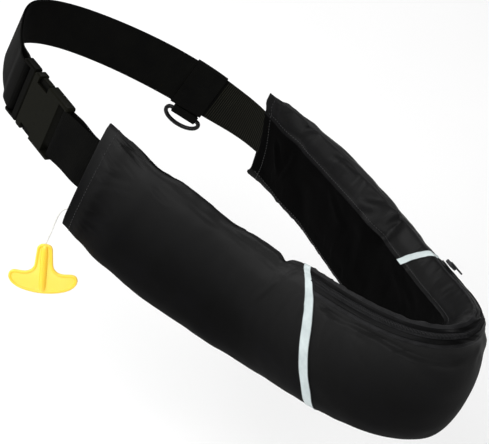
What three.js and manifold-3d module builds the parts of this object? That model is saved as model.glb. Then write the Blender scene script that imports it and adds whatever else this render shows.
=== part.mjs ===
import * as THREE from "three";
import { mergeVertices } from "three/addons/utils/BufferGeometryUtils.js";
import Module from "manifold-3d";

const wasm = await Module();
wasm.setup();

// An inflatable belt pack, closed as it is worn. Millimetres, +Z up, the front towards -Y and the
// wearer's left towards +X. The origin is the middle of the waist opening, at the belt's height.

// The closed belt line
const LOOP_WIDTH = 260;
const LOOP_DEPTH = 514;
const LOOP_RISE = 73;

// Pouch, with the spacing of its sections along it and round the tight front tip
const POUCH_LENGTH = 765;
const POUCH_HEIGHT = 120;
const POUCH_THICKNESS = 40;
const POUCH_DROP = 9;
const CLOTH = 2;
const MOUTH_DEPTH = 30;
const END_RAKE = 9;
const FAR_HEM_CUT = 9;
const STATION_STEP = 12;
const TIP_STEP = 8;
const TIP_FROM = -0.24;
const TIP_TO = 0.3;

// Webbing
const STRAP_WIDTH = 50;
const STRAP_THICKNESS = 1.6;
const SHORT_STRAP = 40;
const BACK_STRAP = 49;
const LAYER_GAP = 0.6;
const CLEARANCE = 0.3;
const STRAP_STEP = 9;
const LONG_STRAP_STEP = 12;
const FLARE = 25;

// Keeper, ring tab and ring
const KEEPER_LENGTH = 34;
const KEEPER_WALL = 1.2;
const KEEPER_STEP = 11;
const TAB_WIDTH = 26;
const TAB_DROP = 6.2;
const TAB_SHIFT = 3;
const RING_WIDTH = 36;
const RING_DEPTH = 13;
const RING_WIRE = 4.2;
const RING_SIDES = 10;

// Side-release buckle
const BAR_SPACING = 70;
const BAR_DIAMETER = 5;
const BUCKLE_MARGIN = 3.8;
const BUCKLE_THICKNESS = 11;
const PLUG_THICKNESS = 6;
const SLOT_LENGTH = 7;

// Zipper and reflective strips
const TAPE_THICKNESS = 0.8;
const TEETH_THICKNESS = 1.6;
const ZIPPER_END_GAP = 1;
const STATION_MARGIN = 2;
const BAND_BEND = 60;
const SLIDER_LENGTH = 11;
const SLIDER_WIDTH = 8;
const SLIDER_THICKNESS = 3.2;
const PULL_LENGTH = 20;
const STRIP_WIDTH = 10.5;
const STRIP_THICKNESS = 0.8;
const SKIN_GAP = 0.35;

// Pull handle and its cord
const HANDLE_WIDTH = 62;
const HANDLE_HEIGHT = 46;
const HANDLE_PLATE = 3.4;
const HANDLE_RIB = 7;
const CORD_DIAMETER = 1.8;
const CORD_SIDES = 8;

// Control rows of the belt line, from the front tip round the wearer's right side, the back and the
// left side: across, along and rise are shares of the loop's width, depth and rise, and lean is in
// degrees, positive where the top leans outwards.
const BELT_ROWS = [
  { across: -0.250, along: -0.516, rise: 0.000, lean: 0 },
  { across: -0.431, along: -0.484, rise: 0.123, lean: 2 },
  { across: -0.412, along: -0.360, rise: -0.041, lean: 2 },
  { across: -0.308, along: -0.235, rise: -0.342, lean: -2 },
  { across: -0.362, along: -0.088, rise: -0.205, lean: -8 },
  { across: -0.492, along: 0.076, rise: 0.219, lean: -8 },
  { across: -0.508, along: 0.239, rise: 0.438, lean: -6 },
  { across: -0.412, along: 0.372, rise: 0.493, lean: -5 },
  { across: -0.223, along: 0.451, rise: 0.507, lean: -9 },
  { across: -0.046, along: 0.508, rise: 0.466, lean: -9 },
  { across: 0.138, along: 0.461, rise: 0.329, lean: -5 },
  { across: 0.315, along: 0.340, rise: 0.096, lean: 1 },
  { across: 0.446, along: 0.243, rise: -0.178, lean: 2 },
  { across: 0.531, along: 0.138, rise: -0.438, lean: -8 },
  { across: 0.423, along: -0.025, rise: -0.507, lean: -12 },
  { across: 0.219, along: -0.243, rise: -0.521, lean: -3 },
  { across: -0.031, along: -0.407, rise: -0.370, lean: 0 },
];

// Sections of the pouch, from its left end to its right end: along is a share of half its length,
// top and bottom are the distances of its edges from its own middle line as shares of its height,
// and thick is a share of its thickness.
const POUCH_ROWS = [
  { along: -1.00, top: 0.450, bottom: 0.405, thick: 0.30 },
  { along: -0.94, top: 0.455, bottom: 0.430, thick: 0.55 },
  { along: -0.85, top: 0.465, bottom: 0.470, thick: 0.82 },
  { along: -0.72, top: 0.475, bottom: 0.480, thick: 1.00 },
  { along: -0.40, top: 0.495, bottom: 0.495, thick: 1.00 },
  { along: 0.00, top: 0.495, bottom: 0.495, thick: 1.00 },
  { along: 0.34, top: 0.495, bottom: 0.495, thick: 1.00 },
  { along: 0.48, top: 0.462, bottom: 0.492, thick: 1.00 },
  { along: 0.72, top: 0.448, bottom: 0.475, thick: 1.00 },
  { along: 0.85, top: 0.455, bottom: 0.462, thick: 0.82 },
  { along: 0.94, top: 0.452, bottom: 0.452, thick: 0.55 },
  { along: 1.00, top: 0.450, bottom: 0.455, thick: 0.30 },
];

// Folds and dents in the pouch: along is a share of half its length, around runs from 0 at the inner
// top seam over the top and the outer face to 1 back at that seam, reach and spread are how far each
// fades along and around, and depth is a share of the thickness, positive outwards.
const FOLDS = [
  { along: 0.455, around: 0.06, reach: 0.020, spread: 0.07, depth: -0.10 },
  { along: 0.66, around: 0.08, reach: 0.050, spread: 0.09, depth: -0.05 },
  { along: 0.86, around: 0.08, reach: 0.045, spread: 0.08, depth: -0.08 },
  { along: 0.80, around: 0.40, reach: 0.060, spread: 0.16, depth: 0.06 },
  { along: 0.56, around: 0.62, reach: 0.110, spread: 0.10, depth: 0.05 },
  { along: 0.06, around: 0.93, reach: 0.050, spread: 0.08, depth: 0.16 },
  { along: -0.44, around: 0.03, reach: 0.030, spread: 0.05, depth: -0.12 },
  { along: -0.50, around: 0.97, reach: 0.040, spread: 0.06, depth: 0.07 },
  { along: -0.60, around: 0.90, reach: 0.080, spread: 0.09, depth: 0.07 },
  { along: -0.84, around: 0.05, reach: 0.030, spread: 0.06, depth: -0.10 },
  { along: -0.90, around: 0.92, reach: 0.040, spread: 0.08, depth: 0.09 },
  { along: -0.78, around: 0.86, reach: 0.040, spread: 0.08, depth: -0.06 },
];

// The pouch's section: a flat inner panel, a raised shoulder and a rounded outer face
const OUTER_ANGLES = [0, 8, 15, 22, 29, 37, 50, 66, 82, 98, 114, 130, 146, 163, 180];
const SHOULDER = 0.35;
const ROUNDNESS = 0.8;
const SECTION = [
  { rise: 0.66, out: 0 },
  ...OUTER_ANGLES.map((degrees) => {
    const angle = THREE.MathUtils.degToRad(degrees);
    const bulge = Math.pow(Math.max(0, Math.sin(angle)), ROUNDNESS);
    return { rise: Math.cos(angle), out: SHOULDER + (1 - SHOULDER) * bulge };
  }),
  { rise: -0.80, out: 0 },
  { rise: -0.44, out: -0.03 },
  { rise: -0.07, out: -0.04 },
  { rise: 0.30, out: -0.03 },
];
const TOP_EDGE = 1;
const BOTTOM_EDGE = OUTER_ANGLES.length;

// Reflective strips from the inner top seam to the bottom edge: around is a share of the way, and
// along is a share of half the pouch's length
const RIGHT_STRIP = [
  { around: 0.00, along: 0.395 },
  { around: 0.07, along: 0.368 },
  { around: 0.27, along: 0.325 },
  { around: 0.53, along: 0.284 },
  { around: 0.80, along: 0.276 },
  { around: 1.00, along: 0.291 },
];
const LEFT_STRIP = [
  { around: 0.00, along: -0.337 },
  { around: 0.07, along: -0.268 },
  { around: 0.27, along: -0.268 },
  { around: 0.53, along: -0.290 },
  { around: 0.80, along: -0.290 },
  { around: 1.00, along: -0.300 },
];

const half = POUCH_LENGTH / 2;
const up = new THREE.Vector3(0, 0, 1);

// The middle line of the webbing: a closed uniform B-spline through the rows above
class BeltLine extends THREE.Curve {
  constructor(rows) {
    super();
    this.rows = rows;
    this.arcLengthDivisions = 1700;
    this.total = this.getLength();
  }

  weights(t) {
    const count = this.rows.length;
    const run = THREE.MathUtils.euclideanModulo(t, 1) * count;
    const row = Math.floor(run);
    const f = run - row;
    const share = [
      (1 - f) ** 3 / 6,
      (3 * f ** 3 - 6 * f ** 2 + 4) / 6,
      (-3 * f ** 3 + 3 * f ** 2 + 3 * f + 1) / 6,
      f ** 3 / 6,
    ];
    return share.map((weight, k) => ({ weight, row: this.rows[(row - 1 + k + count) % count] }));
  }

  getPoint(t, target = new THREE.Vector3()) {
    target.set(0, 0, 0);
    for (const { weight, row } of this.weights(t)) {
      target.x += weight * row.across * LOOP_WIDTH;
      target.y += weight * row.along * LOOP_DEPTH;
      target.z += weight * row.rise * LOOP_RISE;
    }
    return target;
  }

  // The point and axes at a distance from the tip, positive on the wearer's right
  frameAt(distance) {
    const u = THREE.MathUtils.euclideanModulo(distance / this.total, 1);
    const t = this.getUtoTmapping(u);
    const lean = this.weights(t).reduce((sum, { weight, row }) => sum + weight * row.lean, 0);
    const step = 1e-4;
    const along = this.getPoint(t + step).sub(this.getPoint(t - step)).normalize();
    const outward = new THREE.Vector3().crossVectors(up, along).normalize();
    const upright = new THREE.Vector3().crossVectors(along, outward).normalize();
    const angle = THREE.MathUtils.degToRad(lean);
    return {
      point: this.getPoint(t),
      along,
      outward: outward.clone().multiplyScalar(Math.cos(angle)).addScaledVector(upright, -Math.sin(angle)),
      upright: upright.clone().multiplyScalar(Math.cos(angle)).addScaledVector(outward, Math.sin(angle)),
    };
  }
}

const belt = new BeltLine(BELT_ROWS);

const smooth = (low, high, x) => THREE.MathUtils.smoothstep(x, low, high);
const mix = THREE.MathUtils.lerp;
const spread = (from, to, step) => {
  const count = Math.max(1, Math.round(Math.abs(to - from) / step));
  return Array.from({ length: count + 1 }, (_, k) => mix(from, to, k / count));
};

function place(frame, outward, upright, along = 0) {
  return frame.point.clone()
    .addScaledVector(frame.outward, outward)
    .addScaledVector(frame.upright, upright)
    .addScaledVector(frame.along, along);
}

// A closed body through rings of equally many points, or a closed ring of rings
function loft(rings, closed = false) {
  const sides = rings[0].length;
  const positions = rings.flat().flatMap((p) => [p.x, p.y, p.z]);
  const index = [];
  const steps = closed ? rings.length : rings.length - 1;
  for (let i = 0; i < steps; i += 1) {
    const next = (i + 1) % rings.length;
    for (let j = 0; j < sides; j += 1) {
      const a = i * sides + j;
      const b = i * sides + ((j + 1) % sides);
      const c = next * sides + ((j + 1) % sides);
      const d = next * sides + j;
      index.push(a, b, d, b, c, d);
    }
  }
  if (!closed) {
    index.push(...capFaces(rings[0], 0).reverse());
    index.push(...capFaces(rings.at(-1), (rings.length - 1) * sides));
  }
  const geometry = new THREE.BufferGeometry();
  geometry.setAttribute("position", new THREE.Float32BufferAttribute(positions, 3));
  geometry.setIndex(volumeOf(positions, index) < 0 ? index.reverse() : index);
  return geometry;
}

// Triangles over one flat ring, in the ring's own sense
function capFaces(ring, first) {
  const normal = new THREE.Vector3();
  ring.forEach((p, k) => normal.add(new THREE.Vector3().crossVectors(p, ring[(k + 1) % ring.length])));
  normal.normalize();
  const right = new THREE.Vector3().subVectors(ring[1], ring[0]).projectOnPlane(normal).normalize();
  const top = new THREE.Vector3().crossVectors(normal, right);
  const flat = ring.map((p) => new THREE.Vector2(p.dot(right), p.dot(top)));
  return THREE.ShapeUtils.triangulateShape(flat, []).flatMap(([a, b, c]) => {
    const area = (flat[b].x - flat[a].x) * (flat[c].y - flat[a].y)
      - (flat[c].x - flat[a].x) * (flat[b].y - flat[a].y);
    return area > 0 ? [first + a, first + b, first + c] : [first + a, first + c, first + b];
  });
}

function volumeOf(positions, index) {
  const corner = (k) => new THREE.Vector3().fromArray(positions, index[k] * 3);
  let sum = 0;
  for (let k = 0; k < index.length; k += 3) {
    sum += corner(k).dot(corner(k + 1).cross(corner(k + 2)));
  }
  return sum;
}

function toSolid(geometry) {
  const bare = geometry.index ? geometry.clone() : geometry;
  bare.deleteAttribute("normal");
  bare.deleteAttribute("uv");
  const merged = mergeVertices(bare, 1e-4);
  return new wasm.Manifold(new wasm.Mesh({
    numProp: 3,
    vertProperties: new Float32Array(merged.attributes.position.array),
    triVerts: new Uint32Array(merged.index.array),
  }));
}

function toGeometry(solid) {
  const mesh = solid.getMesh();
  const geometry = new THREE.BufferGeometry();
  geometry.setAttribute("position", new THREE.Float32BufferAttribute(mesh.vertProperties, 3));
  geometry.setIndex(Array.from(mesh.triVerts));
  return geometry;
}

function box(x0, x1, y0, y1, z0, z1) {
  const geometry = new THREE.BoxGeometry(x1 - x0, y1 - y0, z1 - z0);
  geometry.translate((x0 + x1) / 2, (y0 + y1) / 2, (z0 + z1) / 2);
  return toSolid(geometry);
}

// A plate of an outline in X and Y, centred on Z, with small bevels
function plate(shape, thickness, bevel) {
  const geometry = new THREE.ExtrudeGeometry(shape, {
    depth: thickness - 2 * bevel,
    bevelThickness: bevel,
    bevelSize: bevel,
    bevelOffset: -bevel,
    bevelSegments: 1,
    curveSegments: 6,
  });
  geometry.translate(0, 0, bevel - thickness / 2);
  return toSolid(geometry);
}

function barAcross(x, length) {
  const geometry = new THREE.CylinderGeometry(BAR_DIAMETER / 2, BAR_DIAMETER / 2, length, 14);
  geometry.translate(x, 0, 0);
  return toSolid(geometry);
}

// Pouch surface
function pouchSize(distance) {
  const along = THREE.MathUtils.clamp(distance / half, -1, 1);
  const last = POUCH_ROWS.findIndex((row) => row.along >= along);
  const high = POUCH_ROWS[Math.max(1, last)];
  const low = POUCH_ROWS[Math.max(1, last) - 1];
  const f = smooth(0, 1, (along - low.along) / (high.along - low.along));
  return {
    top: mix(low.top, high.top, f) * POUCH_HEIGHT,
    bottom: mix(low.bottom, high.bottom, f) * POUCH_HEIGHT,
    thick: mix(low.thick, high.thick, f) * POUCH_THICKNESS,
  };
}

// One point of the section at a place around it, in the outward and upright directions
function sectionPoint(distance, around, inset) {
  const low = SECTION[Math.floor(around) % SECTION.length];
  const high = SECTION[(Math.floor(around) + 1) % SECTION.length];
  const f = around - Math.floor(around);
  const rise = mix(low.rise, high.rise, f);
  const out = mix(low.out, high.out, f);
  const size = pouchSize(distance);
  const reach = (rise > 0 ? size.top : size.bottom) - inset;
  return new THREE.Vector2(inset + out * (size.thick - 2 * inset), rise * reach - POUCH_DROP);
}

function foldDepth(distance, around) {
  let depth = 0;
  for (const fold of FOLDS) {
    const gap = around / SECTION.length - fold.around;
    const turn = (gap - Math.round(gap)) / fold.spread;
    const run = (distance / half - fold.along) / fold.reach;
    depth += fold.depth * POUCH_THICKNESS * Math.exp(-run * run - turn * turn);
  }
  return depth;
}

// The ends are raked back towards the bottom, and the left end's inner hem is cut back in the middle
function rakedDistance(distance, around) {
  const { rise, out } = SECTION[Math.round(around) % SECTION.length];
  const fade = smooth(0.8, 1, Math.abs(distance) / half);
  const rake = END_RAKE * (1 - rise) / 2;
  const inner = out <= 0 && distance < 0 ? FAR_HEM_CUT * (1 - rise * rise) : 0;
  return distance - Math.sign(distance) * (rake + inner) * fade;
}

function pouchPoint(distance, around, offset = 0, inset = 0) {
  const here = sectionPoint(distance, around, inset);
  const before = sectionPoint(distance, (around - 0.6 + SECTION.length) % SECTION.length, inset);
  const after = sectionPoint(distance, (around + 0.6) % SECTION.length, inset);
  const chord = after.sub(before).normalize();
  const lift = offset + (inset > 0 ? 0 : foldDepth(distance, around));
  const frame = belt.frameAt(rakedDistance(distance, around));
  return place(frame, here.x + chord.y * -lift, here.y + chord.x * lift);
}

const sectionRing = (distance, inset) => SECTION.map((_, around) => pouchPoint(distance, around, 0, inset));

// Stations of the pouch, closer together at the tip
const stations = [
  ...spread(-half, half * TIP_FROM, STATION_STEP),
  ...spread(half * TIP_FROM, half * TIP_TO, TIP_STEP).slice(1),
  ...spread(half * TIP_TO, half, STATION_STEP).slice(1),
];

function pouch() {
  const mouth = (end, depth) => end - Math.sign(end) * depth;
  const rings = [
    sectionRing(mouth(-half, MOUTH_DEPTH), CLOTH),
    sectionRing(mouth(-half, MOUTH_DEPTH / 2), CLOTH),
    sectionRing(-half, CLOTH),
    ...stations.map((distance) => sectionRing(distance, 0)),
    sectionRing(half, CLOTH),
    sectionRing(mouth(half, MOUTH_DEPTH / 2), CLOTH),
    sectionRing(mouth(half, MOUTH_DEPTH), CLOTH),
  ];
  return loft(rings);
}

// A point over the pouch's skin, straight between its stations
function skinPoint(distance, around, offset) {
  const last = Math.max(1, stations.findIndex((station) => station >= distance));
  const low = stations[last - 1];
  const high = stations[last];
  return pouchPoint(low, around, offset)
    .lerp(pouchPoint(high, around, offset), (distance - low) / (high - low));
}

// Where a strip's middle line lies along the pouch, at a place around the section
function stripMiddle(strip, around) {
  const share = around / BOTTOM_EDGE;
  const last = Math.max(1, strip.findIndex((row) => row.around >= share));
  const low = strip[last - 1];
  const high = strip[last];
  return mix(low.along, high.along, (share - low.around) / (high.around - low.around)) * half;
}

// A strip over the outer face, from the inner top seam to the bottom edge
function reflectiveStrip(strip) {
  const arounds = [...spread(0, TOP_EDGE, 0.25), ...spread(TOP_EDGE, BOTTOM_EDGE, 0.5).slice(1)];
  const rings = arounds.map((around) => {
    const from = stripMiddle(strip, around) - STRIP_WIDTH / 2;
    const to = stripMiddle(strip, around) + STRIP_WIDTH / 2;
    return [
      skinPoint(from, around, SKIN_GAP),
      skinPoint(to, around, SKIN_GAP),
      skinPoint(to, around, SKIN_GAP + STRIP_THICKNESS),
      skinPoint(from, around, SKIN_GAP + STRIP_THICKNESS),
    ];
  });
  return loft(rings);
}

// A band along the top of the pouch from one strip to the other, whose ends follow the strips
const TAPE_PLACES = [1, 2, 3, 4, 5, 6];
const TEETH_PLACES = [3, 3.5, 4];
const bandEnds = (around) => ({
  left: stripMiddle(LEFT_STRIP, around) + STRIP_WIDTH / 2 + ZIPPER_END_GAP,
  right: stripMiddle(RIGHT_STRIP, around) - STRIP_WIDTH / 2 - ZIPPER_END_GAP,
});

function topBand(arounds, inner, outer) {
  const { left, right } = bandEnds(TEETH_PLACES[1]);
  const between = stations.filter(
    (distance) => distance > left + STATION_MARGIN && distance < right - STATION_MARGIN,
  );
  const bend = (distance, around) => {
    const ends = bandEnds(around);
    return distance + (ends.left - left) * (1 - smooth(left, left + BAND_BEND, distance))
      + (ends.right - right) * smooth(right - BAND_BEND, right, distance);
  };
  const rings = [left, ...between, right].map((distance) => [
    ...arounds.map((around) => skinPoint(bend(distance, around), around, inner)),
    ...arounds.toReversed().map((around) => skinPoint(bend(distance, around), around, outer)),
  ]);
  return loft(rings);
}

const teethInner = SKIN_GAP + TAPE_THICKNESS + CLEARANCE;
const zipperTape = () => topBand(TAPE_PLACES, SKIN_GAP, SKIN_GAP + TAPE_THICKNESS);
const zipperTeeth = () => topBand(TEETH_PLACES, teethInner, teethInner + TEETH_THICKNESS);

// Slider body and pull tab, lying on the teeth near the left strip
function zipperSlider() {
  const shape = new THREE.Shape();
  const widest = SLIDER_WIDTH / 2;
  shape.moveTo(-SLIDER_LENGTH / 2, -widest * 0.6);
  shape.lineTo(SLIDER_LENGTH / 2, -widest);
  shape.lineTo(SLIDER_LENGTH / 2, widest);
  shape.lineTo(-SLIDER_LENGTH / 2, widest * 0.6);
  const body = plate(shape, SLIDER_THICKNESS, 0.6);
  const pull = new THREE.Shape();
  pull.moveTo(0, -widest * 0.35);
  pull.lineTo(PULL_LENGTH * 0.8, -widest * 0.6);
  pull.quadraticCurveTo(PULL_LENGTH, -widest * 0.6, PULL_LENGTH, 0);
  pull.quadraticCurveTo(PULL_LENGTH, widest * 0.6, PULL_LENGTH * 0.8, widest * 0.6);
  pull.lineTo(0, widest * 0.35);
  const eye = new THREE.Path();
  eye.absarc(PULL_LENGTH * 0.78, 0, widest * 0.28, 0, Math.PI * 2, true);
  pull.holes.push(eye);
  const tab = plate(pull, 1.4, 0.3).translate([0, 0, SLIDER_THICKNESS / 2 + 0.2]);
  return toGeometry(body.add(tab));
}

// The pose of a small piece on the pouch's skin: its X along the belt, its Z off the skin
function skinPose(distance, around, lift) {
  const at = pouchPoint(distance, around, lift);
  const reach = SLIDER_LENGTH / 4;
  const ahead = pouchPoint(distance + reach, around, lift);
  const along = ahead.sub(pouchPoint(distance - reach, around, lift)).normalize();
  const off = pouchPoint(distance, around, lift + 1).sub(at).projectOnPlane(along).normalize();
  const side = new THREE.Vector3().crossVectors(off, along);
  return new THREE.Matrix4().makeBasis(along, side, off).setPosition(at);
}

// Webbing: a flat ribbon through points that each carry the direction across it
function ribbon(path, width, thickness) {
  const rings = path.map(({ at, across }, k) => {
    const before = path[Math.max(0, k - 1)].at;
    const after = path[Math.min(path.length - 1, k + 1)].at;
    const normal = new THREE.Vector3().subVectors(after, before).cross(across).normalize();
    return [[-1, -1], [1, -1], [1, 1], [-1, 1]].map(([side, face]) => at.clone()
      .addScaledVector(across, side * width / 2)
      .addScaledVector(normal, face * thickness / 2));
  });
  return loft(rings);
}

// The buckle's frame: X from the plug's bar to the socket's bar, Y up, Z outwards
const layerPitch = STRAP_THICKNESS + LAYER_GAP;
const wrapRadius = (BAR_DIAMETER + STRAP_THICKNESS) / 2 + CLEARANCE;
const socketBarDistance = half + SHORT_STRAP;
const plugBarDistance = socketBarDistance + BAR_SPACING;
const buckleFrame = (() => {
  const plugEnd = belt.frameAt(plugBarDistance);
  const socketEnd = belt.frameAt(socketBarDistance);
  const plugBar = place(plugEnd, -layerPitch / 2, 0);
  const socketBar = place(socketEnd, -layerPitch / 2, 0);
  const x = new THREE.Vector3().subVectors(socketBar, plugBar).normalize();
  const y = plugEnd.upright.clone().add(socketEnd.upright).projectOnPlane(x).normalize();
  const z = new THREE.Vector3().crossVectors(x, y);
  const origin = plugBar.add(socketBar).multiplyScalar(0.5).addScaledVector(x, -BAR_SPACING / 2);
  return new THREE.Matrix4().makeBasis(x, y, z).setPosition(origin);
})();

// A point of a strap; turn 1 lays it in the buckle's own plane, turn 0 along the belt
function strapPoint(distance, outward, turn = 0) {
  const frame = belt.frameAt(distance);
  const buckleUp = new THREE.Vector3().setFromMatrixColumn(buckleFrame, 1);
  return { at: place(frame, outward, 0), across: frame.upright.lerp(buckleUp, turn).normalize() };
}

// Half a turn of webbing round a bar, from the outer layer to the inner one
function wrap(barX, side) {
  const across = new THREE.Vector3().setFromMatrixColumn(buckleFrame, 1);
  return spread(90, -90, 22.5).map((degrees) => {
    const angle = THREE.MathUtils.degToRad(degrees);
    const at = new THREE.Vector3(barX + side * Math.cos(angle) * wrapRadius, 0, Math.sin(angle) * wrapRadius);
    return { at: at.applyMatrix4(buckleFrame), across };
  });
}

const mouthLayer = CLOTH + CLEARANCE + STRAP_THICKNESS / 2;
const outerAtBar = wrapRadius - layerPitch / 2;
const innerAtBar = -wrapRadius - layerPitch / 2;
const keeperMiddle = -half - BACK_STRAP - KEEPER_LENGTH / 2;
const keeperStations = spread(
  keeperMiddle - KEEPER_LENGTH / 2, keeperMiddle + KEEPER_LENGTH / 2, KEEPER_STEP,
);

// The short strap comes out of the right mouth, round the socket's bar and back into the mouth
function shortStrap() {
  const floor = half - MOUTH_DEPTH + CLEARANCE * 2;
  const stop = socketBarDistance - wrapRadius;
  const turn = (s) => smooth(half, stop - FLARE / 3, s);
  const outer = spread(floor, stop, STRAP_STEP).map((s) => strapPoint(
    s, mix(mouthLayer + layerPitch, outerAtBar, turn(s)), turn(s),
  ));
  const inner = spread(stop, floor, STRAP_STEP).map((s) => strapPoint(
    s, mix(mouthLayer, innerAtBar, turn(s)), turn(s),
  ));
  return ribbon([...outer, ...wrap(BAR_SPACING, -1), ...inner], STRAP_WIDTH, STRAP_THICKNESS);
}

// The long strap comes out of the left mouth, through the keeper to the plug's bar, and its tail
// lies back along the inside as far as the keeper
function longStrap() {
  const floor = -half + MOUTH_DEPTH - CLEARANCE * 2;
  const bar = plugBarDistance - belt.total;
  const stop = bar + wrapRadius;
  const outerRun = [
    ...spread(floor, keeperStations.at(-1), LONG_STRAP_STEP),
    ...keeperStations.toReversed().slice(1),
    ...spread(keeperStations[0], stop, LONG_STRAP_STEP).slice(1),
  ];
  const turn = (s) => 1 - smooth(stop + FLARE / 3, stop + FLARE, s);
  const outer = outerRun.map((s) => strapPoint(
    s, mouthLayer * smooth(-half - BACK_STRAP, -half, s) + outerAtBar * turn(s), turn(s),
  ));
  const tailRun = [
    ...spread(stop, keeperStations[0], LONG_STRAP_STEP),
    ...keeperStations.slice(1, -1),
  ];
  const tail = tailRun.map((s) => strapPoint(s, mix(-layerPitch, innerAtBar, turn(s)), turn(s)));
  return ribbon([...outer, ...wrap(0, 1), ...tail], STRAP_WIDTH, STRAP_THICKNESS);
}

// Keeper: a flat loop of webbing round both layers
function keeper() {
  const low = -layerPitch - STRAP_THICKNESS / 2 - CLEARANCE;
  const high = STRAP_THICKNESS / 2 + CLEARANCE;
  const edge = STRAP_WIDTH / 2 + CLEARANCE;
  const ring = (distance, wall) => {
    const frame = belt.frameAt(distance);
    return [[low - wall, -1], [high + wall, -1], [high + wall, 1], [low - wall, 1]]
      .map(([outward, side]) => place(frame, outward, side * (edge + wall)));
  };
  return loft([
    ...keeperStations.map((distance) => ring(distance, 0)),
    ...keeperStations.toReversed().map((distance) => ring(distance, KEEPER_WALL)),
  ], true);
}

// The ring's frame: X along its bar, Y outwards, Z up, at the middle of the bar
const keeperEdge = STRAP_WIDTH / 2 + CLEARANCE + KEEPER_WALL;
const tabRadius = (RING_WIRE + STRAP_THICKNESS) / 2 + CLEARANCE;
const ringFrame = (() => {
  const frame = belt.frameAt(keeperMiddle + TAB_SHIFT);
  const level = new THREE.Vector3().crossVectors(up, frame.along).normalize();
  const upright = new THREE.Vector3().crossVectors(frame.along, level);
  const origin = place(frame, -layerPitch / 2, -keeperEdge - CLEARANCE - TAB_DROP);
  return new THREE.Matrix4().makeBasis(frame.along, level, upright).setPosition(origin);
})();

function ringTab() {
  const across = new THREE.Vector3(1, 0, 0);
  const leg = (y, zs) => zs.map((z) => ({ at: new THREE.Vector3(0, y, z), across }));
  const turn = spread(0, -180, 22.5).map((degrees) => {
    const angle = THREE.MathUtils.degToRad(degrees);
    return { at: new THREE.Vector3(0, Math.cos(angle) * tabRadius, Math.sin(angle) * tabRadius), across };
  });
  const front = leg(tabRadius, [TAB_DROP, TAB_DROP / 2]);
  const back = leg(-tabRadius, [TAB_DROP / 2, TAB_DROP]);
  return ribbon([...front, ...turn, ...back], TAB_WIDTH, STRAP_THICKNESS);
}

// A straight bar and a bow below it, bent from one round wire
function dRing() {
  const reach = RING_WIDTH / 2;
  const corner = RING_WIRE * 0.9;
  const path = [];
  for (const x of spread(-reach + corner, reach - corner, 9)) {
    path.push(new THREE.Vector2(x, 0));
  }
  for (const degrees of spread(72, 18, 18)) {
    const angle = THREE.MathUtils.degToRad(degrees);
    path.push(new THREE.Vector2(reach - corner + Math.cos(angle) * corner, (Math.sin(angle) - 1) * corner));
  }
  for (const degrees of spread(0, 180, 15)) {
    const angle = THREE.MathUtils.degToRad(degrees);
    path.push(new THREE.Vector2(Math.cos(angle) * reach, -corner - Math.sin(angle) * (RING_DEPTH - corner)));
  }
  for (const degrees of spread(162, 108, 18)) {
    const angle = THREE.MathUtils.degToRad(degrees);
    path.push(new THREE.Vector2(corner - reach + Math.cos(angle) * corner, (Math.sin(angle) - 1) * corner));
  }
  const rings = path.map((p, k) => {
    const before = path[(k - 1 + path.length) % path.length];
    const after = path[(k + 1) % path.length];
    const away = new THREE.Vector2().subVectors(after, before).rotateAround(new THREE.Vector2(), Math.PI / 2);
    away.normalize();
    return Array.from({ length: RING_SIDES }, (_, side) => {
      const angle = (side + 0.5) / RING_SIDES * Math.PI * 2;
      const shift = Math.cos(angle) * RING_WIRE / 2;
      return new THREE.Vector3(p.x + away.x * shift, Math.sin(angle) * RING_WIRE / 2, p.y + away.y * shift);
    });
  });
  return loft(rings, true);
}

// Buckle
const buckleHalf = STRAP_WIDTH / 2 + BUCKLE_MARGIN;
const slotHalf = STRAP_WIDTH / 2 + CLEARANCE * 2;
const slotEnd = BAR_DIAMETER / 2 + SLOT_LENGTH;
const crossEnd = slotEnd + 7;
const mouthX = crossEnd + 1;
const socketSlotStart = BAR_SPACING - BAR_DIAMETER / 2 - SLOT_LENGTH;
const WINDOW = { from: mouthX + 8, to: mouthX + 24, depth: 7 };
const pocketEnd = socketSlotStart - 4;
const pocketHalf = buckleHalf - 3;

function rounded(x0, x1, y, radius) {
  const shape = new THREE.Shape();
  shape.moveTo(x0 + radius, -y);
  shape.lineTo(x1 - radius, -y);
  shape.absarc(x1 - radius, -y + radius, radius, -Math.PI / 2, 0);
  shape.lineTo(x1, y - radius);
  shape.absarc(x1 - radius, y - radius, radius, 0, Math.PI / 2);
  shape.lineTo(x0 + radius, y);
  shape.absarc(x0 + radius, y - radius, radius, Math.PI / 2, Math.PI);
  shape.lineTo(x0, -y + radius);
  shape.absarc(x0 + radius, -y + radius, radius, Math.PI, Math.PI * 1.5);
  return shape;
}

function bucklePlug() {
  const rear = -BAR_DIAMETER / 2;
  const frame = plate(rounded(rear, crossEnd, buckleHalf, 2.5), BUCKLE_THICKNESS - 2, 1)
    .subtract(box(rear - 1, slotEnd, -slotHalf, slotHalf, -BUCKLE_THICKNESS, BUCKLE_THICKNESS));
  const bar = barAcross(0, slotHalf * 2 + 2);
  const tongue = plate(rounded(crossEnd - 3, pocketEnd - 4, 7, 2), PLUG_THICKNESS, 0.6);
  const arm = (side) => {
    const shape = new THREE.Shape();
    const outer = pocketHalf - CLEARANCE;
    const button = buckleHalf - 0.6;
    shape.moveTo(crossEnd - 3, side * (outer - 7));
    shape.lineTo(crossEnd - 3, side * outer);
    shape.lineTo(WINDOW.from + 0.6, side * outer);
    shape.lineTo(WINDOW.from + 2, side * button);
    shape.lineTo(WINDOW.to - 2, side * button);
    shape.lineTo(WINDOW.to - 0.6, side * (outer - 1));
    shape.lineTo(WINDOW.to + 2, side * (outer - 5));
    shape.lineTo(WINDOW.to - 3, side * (outer - 6));
    return plate(shape, PLUG_THICKNESS, 0.5);
  };
  return toGeometry(frame.add(bar).add(tongue).add(arm(1)).add(arm(-1)));
}

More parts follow.
